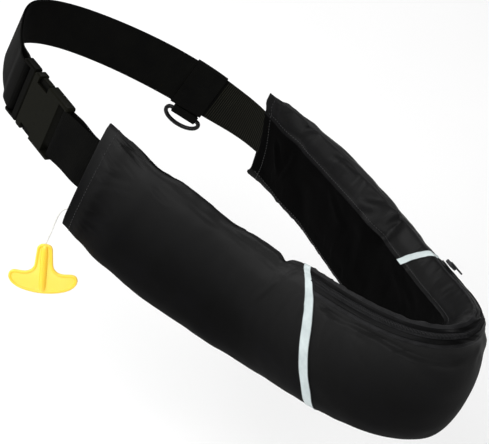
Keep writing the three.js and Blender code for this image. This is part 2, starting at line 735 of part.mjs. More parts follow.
function buckleSocket() {
  const rear = BAR_SPACING + BAR_DIAMETER / 2;
  const deep = PLUG_THICKNESS / 2 + 0.5;
  let body = plate(rounded(mouthX, rear, buckleHalf, 3), BUCKLE_THICKNESS, 1.2)
    .subtract(box(socketSlotStart, rear + 1, -slotHalf, slotHalf, -BUCKLE_THICKNESS, BUCKLE_THICKNESS))
    .subtract(box(mouthX - 1, pocketEnd, -pocketHalf, pocketHalf, -deep, deep));
  for (const side of [1, -1]) {
    const edges = [side * (buckleHalf - WINDOW.depth), side * (buckleHalf + 1)].sort((a, b) => a - b);
    body = body.subtract(box(
      WINDOW.from, WINDOW.to, edges[0], edges[1], -BUCKLE_THICKNESS, BUCKLE_THICKNESS,
    ));
  }
  return toGeometry(body.add(barAcross(BAR_SPACING, slotHalf * 2 + 2)));
}

// Pull handle: a plate with short curved wings and a round rib down its middle. X across, Y down
// from the top of the stem, Z towards the front.
function pullHandle() {
  const w = HANDLE_WIDTH / 2;
  const h = HANDLE_HEIGHT;
  const shape = new THREE.Shape();
  shape.moveTo(0, 0);
  shape.quadraticCurveTo(w * 0.22, 0, w * 0.23, h * 0.12);
  shape.lineTo(w * 0.27, h * 0.42);
  shape.quadraticCurveTo(w * 0.32, h * 0.58, w * 0.60, h * 0.58);
  shape.lineTo(w * 0.80, h * 0.57);
  shape.quadraticCurveTo(w, h * 0.57, w, h * 0.70);
  shape.quadraticCurveTo(w * 0.98, h * 0.84, w * 0.66, h * 0.93);
  shape.quadraticCurveTo(w * 0.34, h, 0, h);
  shape.quadraticCurveTo(-w * 0.34, h, -w * 0.66, h * 0.93);
  shape.quadraticCurveTo(-w * 0.98, h * 0.84, -w, h * 0.70);
  shape.quadraticCurveTo(-w, h * 0.57, -w * 0.80, h * 0.57);
  shape.lineTo(-w * 0.60, h * 0.58);
  shape.quadraticCurveTo(-w * 0.32, h * 0.58, -w * 0.27, h * 0.42);
  shape.lineTo(-w * 0.23, h * 0.12);
  shape.quadraticCurveTo(-w * 0.22, 0, 0, 0);
  const body = plate(shape, HANDLE_PLATE, 0.7);
  const rib = new THREE.CylinderGeometry(HANDLE_RIB / 2, HANDLE_RIB / 2, h - 1, 12);
  rib.translate(0, h / 2, 0);
  return toGeometry(body.add(toSolid(rib)));
}

// The cord's chosen points, from inside the right mouth to the handle's stem
const CORD_POINTS = [
  [-138.2, 53.0, -28.2],
  [-139.2, 61.0, -26.4],
  [-140.2, 69.0, -24.7],
  [-141.0, 75.6, -23.4],
  [-141.9, 80.6, -23.8],
  [-143.3, 84.2, -27.2],
  [-144.4, 86.2, -33.2],
  [-144.9, 87.2, -40.6],
  [-145.0, 88.2, -49.0],
  [-145.2, 89.4, -58.0],
  [-145.6, 91.0, -67.3],
];
const HANDLE_DOWN = new THREE.Vector3(-0.17, -0.30, -0.94).normalize();
const HANDLE_ACROSS = new THREE.Vector3(0.52, -0.84, 0.17);

function pullCord() {
  const path = new THREE.CatmullRomCurve3(CORD_POINTS.map((p) => new THREE.Vector3(...p)));
  const shape = new THREE.Shape();
  for (let side = 0; side < CORD_SIDES; side += 1) {
    const angle = side / CORD_SIDES * Math.PI * 2;
    const corner = [Math.cos(angle) * CORD_DIAMETER / 2, Math.sin(angle) * CORD_DIAMETER / 2];
    if (side === 0) {
      shape.moveTo(...corner);
    } else {
      shape.lineTo(...corner);
    }
  }
  const steps = Math.round(path.getLength() / (CORD_DIAMETER * 2));
  return new THREE.ExtrudeGeometry(shape, { steps, extrudePath: path, bevelEnabled: false });
}

const handleFrame = (() => {
  const down = HANDLE_DOWN;
  const across = HANDLE_ACROSS.clone().projectOnPlane(down).normalize();
  const front = new THREE.Vector3().crossVectors(across, down);
  const end = new THREE.Vector3(...CORD_POINTS.at(-1)).addScaledVector(down, CLEARANCE);
  return new THREE.Matrix4().makeBasis(across, down, front).setPosition(end);
})();

// Finishes
const finish = (color, roughness, metalness = 0) => ({ color, roughness, metalness });
const NYLON = finish(0x1b1b1c, 0.55);
const WEBBING = finish(0x161613, 0.85);
const TAPE = finish(0x202022, 0.8);
const PLASTIC = finish(0x2a2a28, 0.4);
const STEEL = finish(0x2b2b2d, 0.35, 0.8);
const REFLECTIVE = finish(0xd4dcdc, 0.35);
const YELLOW = finish(0xf6cf2c, 0.4);
const CORD = finish(0xe8e8e4, 0.6);

const group = new THREE.Group();

function piece(name, geometry, look, matrix = new THREE.Matrix4()) {
  const mesh = new THREE.Mesh(geometry, new THREE.MeshStandardMaterial(look));
  mesh.name = name;
  mesh.applyMatrix4(matrix);
  group.add(mesh);
}

piece("pouch", pouch(), NYLON);
piece("reflective_strip_right", reflectiveStrip(RIGHT_STRIP), REFLECTIVE);
piece("reflective_strip_left", reflectiveStrip(LEFT_STRIP), REFLECTIVE);
piece("zipper_tape", zipperTape(), TAPE);
piece("zipper_teeth", zipperTeeth(), PLASTIC);
const sliderLift = teethInner + TEETH_THICKNESS + CLEARANCE + SLIDER_THICKNESS / 2;
piece("zipper_slider", zipperSlider(), STEEL,
  skinPose(bandEnds(TEETH_PLACES[1]).left + SLIDER_LENGTH, TEETH_PLACES[1], sliderLift));
piece("strap_short", shortStrap(), WEBBING);
piece("strap_long", longStrap(), WEBBING);
piece("keeper", keeper(), WEBBING);
piece("ring_tab", ringTab(), WEBBING, ringFrame);
piece("d_ring", dRing(), STEEL, ringFrame);
piece("buckle_plug", bucklePlug(), PLASTIC, buckleFrame);
piece("buckle_socket", buckleSocket(), PLASTIC, buckleFrame);
piece("pull_cord", pullCord(), CORD);
piece("pull_handle", pullHandle(), YELLOW, handleFrame);

export default group;
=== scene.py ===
"""An inflatable belt pack, closed as it is worn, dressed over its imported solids.

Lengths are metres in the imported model's frame: +Z up, -Y the wearer's front, +X the wearer's left.
"""
import logging
from dataclasses import asdict, dataclass, field
from enum import Enum

import bmesh
import bpy
import numpy as np
from mathutils import Matrix, Vector


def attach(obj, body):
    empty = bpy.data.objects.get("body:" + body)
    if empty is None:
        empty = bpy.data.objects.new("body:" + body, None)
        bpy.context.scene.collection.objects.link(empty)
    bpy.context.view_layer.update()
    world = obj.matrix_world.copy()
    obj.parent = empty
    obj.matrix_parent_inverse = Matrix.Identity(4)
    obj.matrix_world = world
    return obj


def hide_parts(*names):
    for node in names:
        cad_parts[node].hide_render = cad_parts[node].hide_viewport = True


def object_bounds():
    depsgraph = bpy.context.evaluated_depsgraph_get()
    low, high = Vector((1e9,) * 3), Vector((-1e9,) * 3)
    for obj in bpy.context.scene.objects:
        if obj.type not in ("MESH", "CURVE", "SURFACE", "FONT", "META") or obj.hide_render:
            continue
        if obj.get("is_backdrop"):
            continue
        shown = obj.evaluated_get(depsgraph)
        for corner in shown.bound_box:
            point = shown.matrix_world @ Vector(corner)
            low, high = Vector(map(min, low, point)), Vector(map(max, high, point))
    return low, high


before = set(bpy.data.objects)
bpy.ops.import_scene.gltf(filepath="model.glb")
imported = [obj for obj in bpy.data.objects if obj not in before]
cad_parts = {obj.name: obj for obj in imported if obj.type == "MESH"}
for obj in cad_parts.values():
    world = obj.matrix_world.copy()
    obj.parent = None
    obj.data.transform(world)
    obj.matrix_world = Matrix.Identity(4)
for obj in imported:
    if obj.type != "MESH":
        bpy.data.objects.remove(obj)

LOG = logging.getLogger("belt_pack")
CAD_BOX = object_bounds()
MM = 0.001
STITCH = 3.2 * MM  # from one stitch to the next
WELD = 2e-7  # points of a surface nearer than this are one point
CAD_WELD = 1e-6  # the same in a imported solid
FLAT = np.radians(1.5)  # packed faces that turn less than this are one face
CREASED = np.radians(50)  # edges of a surface that turn more than this stay sharp
Array = np.ndarray
Socket = bpy.types.NodeSocket


class Body(Enum):
    """The rigid bodies that a piece can ride on."""

    BELT = "belt"
    RING = "ring"


# ------------------------------------------------------------------ shapes from arrays

def unit(v: Array) -> Array:
    """Scale vectors to length one.

    Args:
        v: vectors along the last axis.

    Returns:
        The unit vectors.
    """
    return v / np.maximum(np.linalg.norm(v, axis=-1, keepdims=True), 1e-12)


def smoothstep(low: float, high: float, x: Array) -> Array:
    """Ease from 0 at low to 1 at high: 3t^2 - 2t^3 of the clamped share t.

    Args:
        low: where it starts.
        high: where it ends.
        x: values.

    Returns:
        The eased shares.
    """
    t = np.clip((x - low) / (high - low), 0, 1)
    return t * t * (3 - 2 * t)


def cubic(a: Array, b: Array, c: Array, d: Array, f: Array) -> Array:
    """Catmull-Rom: pass through b at f = 0 and c at f = 1, with slopes (c - a) / 2, (d - b) / 2."""
    return b + 0.5 * f * (c - a + f * (2 * a - 5 * b + 4 * c - d + f * (3 * (b - c) + d - a)))


def ring_spline(table: Array, place: Array) -> Array:
    """Read a closed table at fractional places with a Catmull-Rom cubic.

    Args:
        table: rows of a closed list, (n, k).
        place: places in rows, any shape.

    Returns:
        The values, (..., k).
    """
    low = np.floor(place).astype(int)
    f = (place - low)[..., None]
    return cubic(*(table[(low + k) % len(table)] for k in (-1, 0, 1, 2)), f)


def open_spline(table: Array, count: int) -> Array:
    """Carry a Catmull-Rom cubic through the points of an open path.

    Args:
        table: the path's points, (n, 3).
        count: how many points to return.

    Returns:
        Points along the path, (count, 3).
    """
    ends = np.vstack([2 * table[0] - table[1], table, 2 * table[-1] - table[-2]])
    place = np.linspace(1, len(table) - 1e-6, count)
    low = np.floor(place).astype(int)
    f = (place - low)[:, None]
    return cubic(*(ends[np.clip(low + k, 0, len(ends) - 1)] for k in (-1, 0, 1, 2)), f)


def run_length(points: Array) -> Array:
    """Measure the distance along a path at each of its points.

    Args:
        points: the path, (n, 3).

    Returns:
        Distances from the first point, (n,).
    """
    steps = np.linalg.norm(np.diff(points, axis=0), axis=1)
    return np.concatenate([[0.0], np.cumsum(steps)])


@dataclass
class Patch:
    """Four-sided faces over points, with a UV pair in metres at each face corner."""

    points: Array
    faces: Array
    uv: Array

    @staticmethod
    def grid(points: Array, uv: Array | None = None, rows_close: bool = False) -> "Patch":
        """Cover a grid of points with quads: each joins a point to the next ones in its row and
        column, and the last column joins the first.

        Args:
            points: the grid, (n, m, 3).
            uv: UV pairs, with one column more, and one row more where the rows close. Without
                them each quad is a millimetre square.
            rows_close: whether the last row joins the first.

        Returns:
            The patch.
        """
        n, m = points.shape[:2]
        i = np.arange(n if rows_close else n - 1)[:, None]
        j = np.arange(m)[None, :]
        corners = ((i, j), (i, j + 1), (i + 1, j + 1), (i + 1, j))
        faces = np.stack([(r % n) * m + c % m for r, c in corners], -1).reshape(-1, 4)
        if uv is None:
            across, along = np.meshgrid(np.arange(m + 1) * MM, np.arange(n + 1) * MM)
            uv = np.stack([along, across], -1)
        wide = uv.shape[1]
        places = np.stack([r * wide + c for r, c in corners], -1).reshape(-1, 4)
        return Patch(points.reshape(-1, 3), faces, uv.reshape(-1, 2)[places])

    @staticmethod
    def joined(patches: list["Patch"]) -> "Patch":
        """Put several patches into one.

        Args:
            patches: the patches.

        Returns:
            One patch with all their points and faces.
        """
        starts = np.cumsum([0] + [len(p.points) for p in patches[:-1]])
        return Patch(
            np.concatenate([p.points for p in patches]),
            np.concatenate([p.faces + start for p, start in zip(patches, starts)]),
            np.concatenate([p.uv for p in patches]),
        )

    def placed(self, matrix: Array) -> "Patch":
        """Carry the points by a 4 by 4 matrix.

        Args:
            matrix: the placing matrix.

        Returns:
            The placed patch.
        """
        return Patch(self.points @ matrix[:3, :3].T + matrix[:3, 3], self.faces, self.uv)


def grid_uv(along: Array, across: Array) -> Array:
    """Pair every place along a surface with every place across it, (n, m, 2)."""
    return np.stack(np.broadcast_arrays(along[:, None], across[None, :]), -1)


def sweep(path: Array, across: Array, up: Array, profile: Array, closed: bool = False) -> Patch:
    """Carry a closed profile along a path: path + across * x + up * y for each profile point. The
    ends of an open path shrink a little and close to a point.

    Args:
        path: points of the path, (n, 3).
        across: the profile's x direction at each point.
        up: the profile's y direction at each point.
        profile: closed outline, (m, 2).
        closed: whether the path joins itself.

    Returns:
        The swept patch, with UV as distance along and profile x.
    """
    points = (path[:, None] + across[:, None] * profile[None, :, :1]
              + up[:, None] * profile[None, :, 1:])
    along = run_length(np.vstack([path, path[:1]]) if closed else path)
    uv = grid_uv(along, np.append(profile[:, 0], profile[0, 0]))
    if not closed:
        middle = points.mean(axis=1, keepdims=True)
        near = middle + (points - middle) * 0.97
        first = np.broadcast_to(middle[:1], points[:1].shape)
        last = np.broadcast_to(middle[-1:], points[:1].shape)
        points = np.concatenate([first, near[:1], points, near[-1:], last])
        uv = np.concatenate([uv[:1], uv[:1], uv, uv[-1:], uv[-1:]])
    return Patch.grid(points, uv, rows_close=closed)


def flat_profile(width: float, thickness: float, steps: int = 10) -> Array:
    """Outline of a flat woven tape: straight faces between half-round edges.

    Args:
        width: over both edges.
        thickness: between the faces.
        steps: points across each face.

    Returns:
        The outline, anticlockwise, (m, 2).
    """
    radius = thickness / 2
    flat = np.linspace(-width / 2 + radius, width / 2 - radius, steps)
    turn = np.radians([-67.5, -45.0, -22.5, 0.0, 22.5, 45.0, 67.5])
    cap = np.stack([np.cos(turn) * radius + width / 2 - radius, np.sin(turn) * radius], -1)
    lower = np.stack([flat, np.full(steps, -radius)], -1)
    return np.vstack([lower, cap, -lower, -cap])


def round_profile(radius: float, sides: int) -> Array:
    """Outline of a round wire or thread.

    Args:
        radius: of the circle.
        sides: how many points.

    Returns:
        The outline, (sides, 2).
    """
    angle = np.arange(sides) / sides * 2 * np.pi
    return np.stack([np.cos(angle), np.sin(angle)], -1) * radius


def make(name: str, patch: Patch, material: bpy.types.Material, body: Body,
         replaces: tuple[str, ...] = (),
         polygons: list[list[int]] | None = None) -> bpy.types.Object:
    """Put a patch into a mesh object, weld its seams and poles, and hang it on its body.

    Args:
        name: the piece's name.
        patch: its points and faces.
        material: its finish.
        body: what it rides on.
        replaces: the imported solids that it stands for.
        polygons: extra faces of any number of corners.

    Returns:
        The object, at the origin.
    """
    mesh = bpy.data.meshes.new(name)
    mesh.from_pydata(patch.points, [], patch.faces.tolist() + (polygons or []))
    layer = mesh.uv_layers.new(name="cloth")
    uv = np.zeros((len(mesh.loops), 2))
    uv[:patch.uv.size // 2] = patch.uv.reshape(-1, 2)
    layer.data.foreach_set("uv", uv.ravel())
    work = bmesh.new()
    work.from_mesh(mesh)
    bmesh.ops.remove_doubles(work, verts=work.verts, dist=WELD)
    if work.calc_volume(signed=True) < 0:
        bmesh.ops.reverse_faces(work, faces=work.faces)
    work.to_mesh(mesh)
    work.free()
    mesh.polygons.foreach_set("use_smooth", np.ones(len(mesh.polygons), bool))
    mesh.set_sharp_from_angle(angle=CREASED)
    mesh.materials.append(material)
    piece = bpy.data.objects.new(name, mesh)
    bpy.context.scene.collection.objects.link(piece)
    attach(piece, body.value)
    if replaces:
        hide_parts(*replaces)
    LOG.info("%s: %d faces on %s", name, len(mesh.polygons), body.value)
    return piece


def refinish(piece: bpy.types.Object, material: bpy.types.Material, axis: int, low: float,
             high: float) -> None:
    """Give a second finish to the faces whose middle lies in a range of the piece's own UV.

    Args:
        piece: the piece.
        material: its second finish.
        axis: 0 for along, 1 for round or across.
        low: where the range starts.
        high: where it ends.
    """
    mesh = piece.data
    uv = np.empty(len(mesh.loops) * 2)
    mesh.uv_layers["cloth"].data.foreach_get("uv", uv)
    starts = np.empty(len(mesh.polygons), int)
    mesh.polygons.foreach_get("loop_start", starts)
    counts = np.append(starts[1:], len(mesh.loops)) - starts
    middle = np.add.reduceat(uv.reshape(-1, 2)[:, axis], starts) / counts
    mesh.materials.append(material)
    mesh.polygons.foreach_set("material_index", ((middle > low) & (middle < high)).astype(int))


# ------------------------------------------------------------------ finishes

def linear(colour: str) -> tuple[float, float, float, float]:
    """Turn an sRGB hex colour into linear light.

    Args:
        colour: six hex digits.

    Returns:
        Linear red, green, blue and an alpha of 1.
    """
    share = np.array([int(colour[k:k + 2], 16) for k in (0, 2, 4)]) / 255
    light = np.where(share <= 0.04045, share / 12.92, ((share + 0.055) / 1.055) ** 2.4)
    return (float(light[0]), float(light[1]), float(light[2]), 1.0)


def node(tree: bpy.types.NodeTree, kind: str, links: dict | None = None,
         **settings) -> bpy.types.Node:
    """Add a node with its settings, values and links.

    Args:
        tree: the node tree.
        kind: the node's type name.
        links: input name or number to a socket or a value.
        **settings: properties of the node.

    Returns:
        The node.
    """
    made = tree.nodes.new(kind)
    for key, value in settings.items():
        setattr(made, key, value)
    for key, value in (links or {}).items():
        if isinstance(value, Socket):
            tree.links.new(value, made.inputs[key])
        else:
            made.inputs[key].default_value = value
    return made


@dataclass(frozen=True)
class Finish:
    """What every finish shares: a name, a main colour and the shader's plain values."""

    name: str
    colour: str
    roughness: float = 0.5
    specular: float = 0.5
    sheen: float = 0.0

    def material(self) -> bpy.types.Material:
        """Make the material: the shader's plain values, then this finish's own patterns.

        Returns:
            The material.
        """
        material = bpy.data.materials.new(self.name)
        material.use_nodes = True
        tree = material.node_tree
        shader = tree.nodes["Principled BSDF"]
        for socket, value in (("Base Color", linear(self.colour)), ("Roughness", self.roughness),
                              ("Specular IOR Level", self.specular), ("Sheen Weight", self.sheen)):
            shader.inputs[socket].default_value = value
        self.pattern(tree, shader)
        return material

    def pattern(self, tree: bpy.types.NodeTree, shader: bpy.types.Node) -> None:
        """Add the patterns that one finish alone has.

        Args:
            tree: the material's nodes.
            shader: the shader that gets them.
        """
        raise NotImplementedError

    def tint(self, tree: bpy.types.NodeTree, shader: bpy.types.Node, share: Socket,
             colour: str) -> None:
        """Blend the shader's linked colour towards a second one.

        Args:
            tree: the material's nodes.
            shader: the shader whose colour is blended.
            share: how much of the second colour shows, 0 to 1.
            colour: the second colour.
        """
        under = shader.inputs["Base Color"].links[0].from_socket
        blend = node(tree, "ShaderNodeMix", {0: share, 6: under, 7: linear(colour)},
                     data_type="RGBA")
        tree.links.new(blend.outputs[2], shader.inputs["Base Color"])

    def emboss(self, tree: bpy.types.NodeTree, shader: bpy.types.Node,
               *layers: tuple[Socket, float, float]) -> None:
        """Lay height patterns over one another and give the shader their normal.

        Args:
            tree: the material's nodes.
            shader: the shader that gets the normal.
            *layers: each a height of 0 to 1, its real depth, and how much of it shows.
        """
        links = {}
        for height, depth, strength in layers:
            links |= {"Height": height, "Distance": depth, "Strength": strength}
            links["Normal"] = node(tree, "ShaderNodeBump", links).outputs["Normal"]
        tree.links.new(links["Normal"], shader.inputs["Normal"])


def shade(ramp: bpy.types.Node, *stops: tuple[float, str]) -> None:
    """Set a colour ramp's two stops.

    Args:
        ramp: the ramp.
        *stops: each stop's place and colour.
    """
    for element, (place, colour) in zip(ramp.color_ramp.elements, stops):
        element.position = place
        element.color = linear(colour)


def uv_waves(tree: bpy.types.NodeTree, along: float, across: float) -> tuple[Socket, Socket]:
    """Read the cloth's own UV in metres and make a sine along it and one across it.

    Args:
        tree: the material's nodes.
        along: wavelength along the cloth.
        across: wavelength across it.

    Returns:
        The two sines' sockets, -1 to 1.
    """
    where = node(tree, "ShaderNodeUVMap", uv_map="cloth").outputs["UV"]
    parts = node(tree, "ShaderNodeSeparateXYZ", {"Vector": where})
    waves = []
    for axis, length in (("X", along), ("Y", across)):
        turns = node(tree, "ShaderNodeMath", {0: parts.outputs[axis], 1: 2 * np.pi / length},
                     operation="MULTIPLY")
        sine = node(tree, "ShaderNodeMath", {0: turns.outputs[0]}, operation="SINE")
        waves.append(sine.outputs[0])
    return waves[0], waves[1]


@dataclass(frozen=True)
class MottledFinish(Finish):
    """A finish whose colour and roughness vary in soft patches of a second colour, patch_size
    wide, by spread either way."""

    patch: str = "000000"
    patch_size: float = 10 * MM
    spread: float = 0.05

    def mottle(self, tree: bpy.types.NodeTree, shader: bpy.types.Node) -> None:
        """Vary colour and roughness in soft patches.

        Args:
            tree: the material's nodes.
            shader: the shader that gets them.
        """
        patches = node(tree, "ShaderNodeTexNoise", {
            "Vector": node(tree, "ShaderNodeTexCoord").outputs["Object"],
            "Scale": 1 / self.patch_size, "Detail": 4.0, "Roughness": 0.6}).outputs["Fac"]
        ramp = node(tree, "ShaderNodeValToRGB", {"Fac": patches})
        shade(ramp, (0.35, self.colour), (0.7, self.patch))
        rough = node(tree, "ShaderNodeMapRange", {
            "Value": patches, "From Min": 0.3, "From Max": 0.7,
            "To Min": self.roughness - self.spread, "To Max": self.roughness + self.spread})
        tree.links.new(ramp.outputs["Color"], shader.inputs["Base Color"])
        tree.links.new(rough.outputs["Result"], shader.inputs["Roughness"])


@dataclass(frozen=True)
class CoatedNylon(MottledFinish):
    """Coated nylon packcloth, plain woven and dyed black: a soft broad sheen over a fine grid of
    threads, with small handling creases. Its upper half is tinted paler, a painted highlight that
    fades out towards the top seam, and is given less roughness so that it shines more than its
    lower half; both places are given as lengths round the cloth from the top seam.
    The threads of the real cloth are 0.35 mm apart and are drawn at 0.9 mm so that they show."""

    name: str = "coated_nylon_packcloth"
    colour: str = "040404"
    roughness: float = 0.4
    specular: float = 0.055
    patch: str = "070708"
    patch_size: float = 35 * MM
    spread: float = 0.03
    # painted highlight: the paler colour that tints the upper half, how far round from the top seam
    # it is full, and where it has faded out
    highlight_tint: str = "1E1E1E"
    highlight_full_to: float = 68 * MM
    highlight_none_from: float = 178 * MM
    # the painted highlight fades out towards the top seam over this length
    seam_shade: float = 42 * MM
    dulling: float = 0.35
    thread: float = 0.9 * MM
    thread_depth: float = 0.025 * MM
    crease: float = 11 * MM
    crease_depth: float = 0.5 * MM

    def pattern(self, tree: bpy.types.NodeTree, shader: bpy.types.Node) -> None:
        """Add patches, a painted highlight on the upper half, creases, and the weave over them.

        Args:
            tree: the material's nodes.
            shader: the shader that gets them.
        """
        self.mottle(tree, shader)
        uv = node(tree, "ShaderNodeUVMap", uv_map="cloth").outputs["UV"]
        around = node(tree, "ShaderNodeSeparateXYZ", {"Vector": uv}).outputs["Y"]
        # painted highlight: the upper half is tinted paler, fading out near the top seam; the same
        # share gives it less roughness
        upper = node(tree, "ShaderNodeMapRange", {
            "Value": around, "From Min": self.highlight_none_from, "From Max": self.highlight_full_to},
            interpolation_type="SMOOTHSTEP").outputs["Result"]
        off_seam = node(tree, "ShaderNodeMapRange", {
            "Value": around, "From Min": 0.0, "From Max": self.seam_shade}).outputs["Result"]
        share = node(tree, "ShaderNodeMath", {0: upper, 1: off_seam}, operation="MULTIPLY")
        self.tint(tree, shader, share.outputs[0], self.highlight_tint)
        dull = node(tree, "ShaderNodeMapRange", {
            "Value": upper, "To Min": self.dulling, "To Max": 0.0}).outputs["Result"]
        patchy = shader.inputs["Roughness"].links[0].from_socket
        rough = node(tree, "ShaderNodeMath", {0: patchy, 1: dull}, operation="ADD")
        tree.links.new(rough.outputs[0], shader.inputs["Roughness"])
        creases = node(tree, "ShaderNodeTexNoise", {
            "Vector": node(tree, "ShaderNodeTexCoord").outputs["Object"],
            "Scale": 1 / self.crease, "Detail": 3.0, "Roughness": 0.5, "Distortion": 0.8})
        warp, weft = uv_waves(tree, self.thread * 2, self.thread * 2)
        weave = node(tree, "ShaderNodeMath", {0: warp, 1: weft}, operation="MULTIPLY")
        self.emboss(tree, shader, (creases.outputs["Fac"], self.crease_depth, 0.35),
                    (weave.outputs[0], self.thread_depth, 0.6))


@dataclass(frozen=True)
class RibbedWebbing(MottledFinish):
    """Heavy nylon webbing, woven with ribs across its width: dull black with an olive cast, with a
    painted highlight along each rib's crest. The ribs are 2 mm apart, as they show in the
    photograph, and ribbing says how much of them, and of their painted highlight, is left where the
    webbing is pressed."""

    name: str = "ribbed_nylon_webbing"
    colour: str = "060606"
    patch: str = "0A0A09"
    patch_size: float = 20 * MM
    # painted highlight: the paler olive grey that the rib crests are tinted towards
    rib_highlight: str = "2B2B23"
    roughness: float = 0.72
    specular: float = 0.022
    rib: float = 2.0 * MM
    rib_depth: float = 0.16 * MM
    yarn: float = 1.5 * MM
    fibre: float = 0.8 * MM
    fibre_depth: float = 0.12 * MM
    ribbing: float = 0.95

    def pattern(self, tree: bpy.types.NodeTree, shader: bpy.types.Node) -> None:
        """Add ribs across with a painted highlight on their crests, yarns along, and fine fibres.

        Args:
            tree: the material's nodes.
            shader: the shader that gets them.
        """
        self.mottle(tree, shader)
        ribs, yarns = uv_waves(tree, self.rib, self.yarn)
        cross = node(tree, "ShaderNodeMath", {0: ribs, 1: yarns}, operation="MULTIPLY").outputs[0]
        height = node(tree, "ShaderNodeMath", {0: cross, 1: 0.45, 2: ribs},
                      operation="MULTIPLY_ADD").outputs[0]
        # painted highlight along the rib crests, weaker where the webbing is pressed
        rib_highlight = node(tree, "ShaderNodeMapRange", {
            "Value": height, "From Min": 0.1, "From Max": 1.2, "To Max": self.ribbing ** 2})
        self.tint(tree, shader, rib_highlight.outputs["Result"], self.rib_highlight)
        fuzz = node(tree, "ShaderNodeTexNoise", {
            "Vector": node(tree, "ShaderNodeTexCoord").outputs["Object"],
            "Scale": 1 / self.fibre, "Detail": 2.0})
        self.emboss(tree, shader, (fuzz.outputs["Fac"], self.fibre_depth, 0.5),
                    (height, self.rib_depth, self.ribbing))


@dataclass(frozen=True)
class ZipperTape(MottledFinish):
    """Woven polyester zipper tape, a fine herringbone that reads as a dull band."""

    name: str = "woven_polyester_tape"
    colour: str = "151516"
    patch: str = "242425"
    patch_size: float = 12 * MM
    roughness: float = 0.5
    specular: float = 0.06
    rib: float = 1.6 * MM
    yarn: float = 1.2 * MM
    depth: float = 0.08 * MM

    def pattern(self, tree: bpy.types.NodeTree, shader: bpy.types.Node) -> None:
        """Add a fine twill.

        Args:
            tree: the material's nodes.
            shader: the shader that gets it.
        """
        self.mottle(tree, shader)
        along, across = uv_waves(tree, self.rib, self.yarn)
        twill = node(tree, "ShaderNodeMath", {0: along, 1: across}, operation="ADD")
        self.emboss(tree, shader, (twill.outputs[0], self.depth, 0.6))


@dataclass(frozen=True)
class ReflectiveTape(MottledFinish):
    """Retroreflective tape of glass beads on cloth: light silver grey, evenly bright, faintly
    grained, darkened along both edges with painted shade. The real beads are 0.05 mm across and are
    drawn at
    0.7 mm so that they show."""

    name: str = "glass_bead_reflective_tape"
    colour: str = "A9B3B4"
    patch: str = "BEC8C8"
    patch_size: float = 14 * MM
    spread: float = 0.06
    # painted shade: the dark grey that both edges of the tape are tinted towards
    edge_shade: str = "2C3031"
    roughness: float = 0.42
    specular: float = 0.4
    bead: float = 0.7 * MM
    bead_depth: float = 0.06 * MM
    edge_from: float = 4.3 * MM
    edge_to: float = 4.9 * MM

    def pattern(self, tree: bpy.types.NodeTree, shader: bpy.types.Node) -> None:
        """Add bead grain, soft dull patches and painted shade along both edges.

        Args:
            tree: the material's nodes.
            shader: the shader that gets them.
        """
        self.mottle(tree, shader)
        # painted shade darkening the tape towards both edges
        uv = node(tree, "ShaderNodeUVMap", uv_map="cloth").outputs["UV"]
        across = node(tree, "ShaderNodeSeparateXYZ", {"Vector": uv}).outputs["Y"]
        off_middle = node(tree, "ShaderNodeMath", {0: across}, operation="ABSOLUTE").outputs[0]
        edge = node(tree, "ShaderNodeMapRange", {
            "Value": off_middle, "From Min": self.edge_from, "From Max": self.edge_to})
        self.tint(tree, shader, edge.outputs["Result"], self.edge_shade)
        beads = node(tree, "ShaderNodeTexVoronoi", {
            "Vector": node(tree, "ShaderNodeTexCoord").outputs["Object"],
            "Scale": 1 / self.bead})
        self.emboss(tree, shader, (beads.outputs["Distance"], self.bead_depth, 0.5))


@dataclass(frozen=True)
class MouldedPlastic(Finish):
    """Injection-moulded plastic: a fine spark-eroded grain, a little lighter along worn edges.
    glow is the share of light that goes into the plastic, as in a thin light-coloured moulding,
    and glow_reach how far its red, green and blue go."""

    name: str = "moulded_acetal"
    colour: str = "060605"
    edge: str = "12120E"
    roughness: float = 0.32
    specular: float = 0.014
    grain: float = 0.5 * MM
    grain_depth: float = 0.03 * MM
    scuff: float = 6 * MM
    glow: float = 0.0
    glow_reach: tuple[float, float, float] = (2 * MM, 1.2 * MM, 0.3 * MM)

    def pattern(self, tree: bpy.types.NodeTree, shader: bpy.types.Node) -> None:
        """Add grain, patches in the gloss, and light edges.

        Args:
            tree: the material's nodes.
            shader: the shader that gets them.
        """
        shader.inputs["Subsurface Weight"].default_value = self.glow
        shader.inputs["Subsurface Radius"].default_value = self.glow_reach
        where = node(tree, "ShaderNodeTexCoord").outputs["Object"]
        scuffs = node(tree, "ShaderNodeTexNoise", {
            "Vector": where, "Scale": 1 / self.scuff, "Detail": 5.0, "Roughness": 0.65})
        rough = node(tree, "ShaderNodeMapRange", {
            "Value": scuffs.outputs["Fac"], "From Min": 0.3, "From Max": 0.75,
            "To Min": self.roughness - 0.08, "To Max": self.roughness + 0.12})
        tree.links.new(rough.outputs["Result"], shader.inputs["Roughness"])
        worn = node(tree, "ShaderNodeValToRGB", {
            "Fac": node(tree, "ShaderNodeNewGeometry").outputs["Pointiness"]})
        shade(worn, (0.5, self.colour), (0.6, self.edge))
        tree.links.new(worn.outputs["Color"], shader.inputs["Base Color"])
        spark = node(tree, "ShaderNodeTexNoise", {"Vector": where, "Scale": 1 / self.grain})
        self.emboss(tree, shader, (spark.outputs["Fac"], self.grain_depth, 0.5))


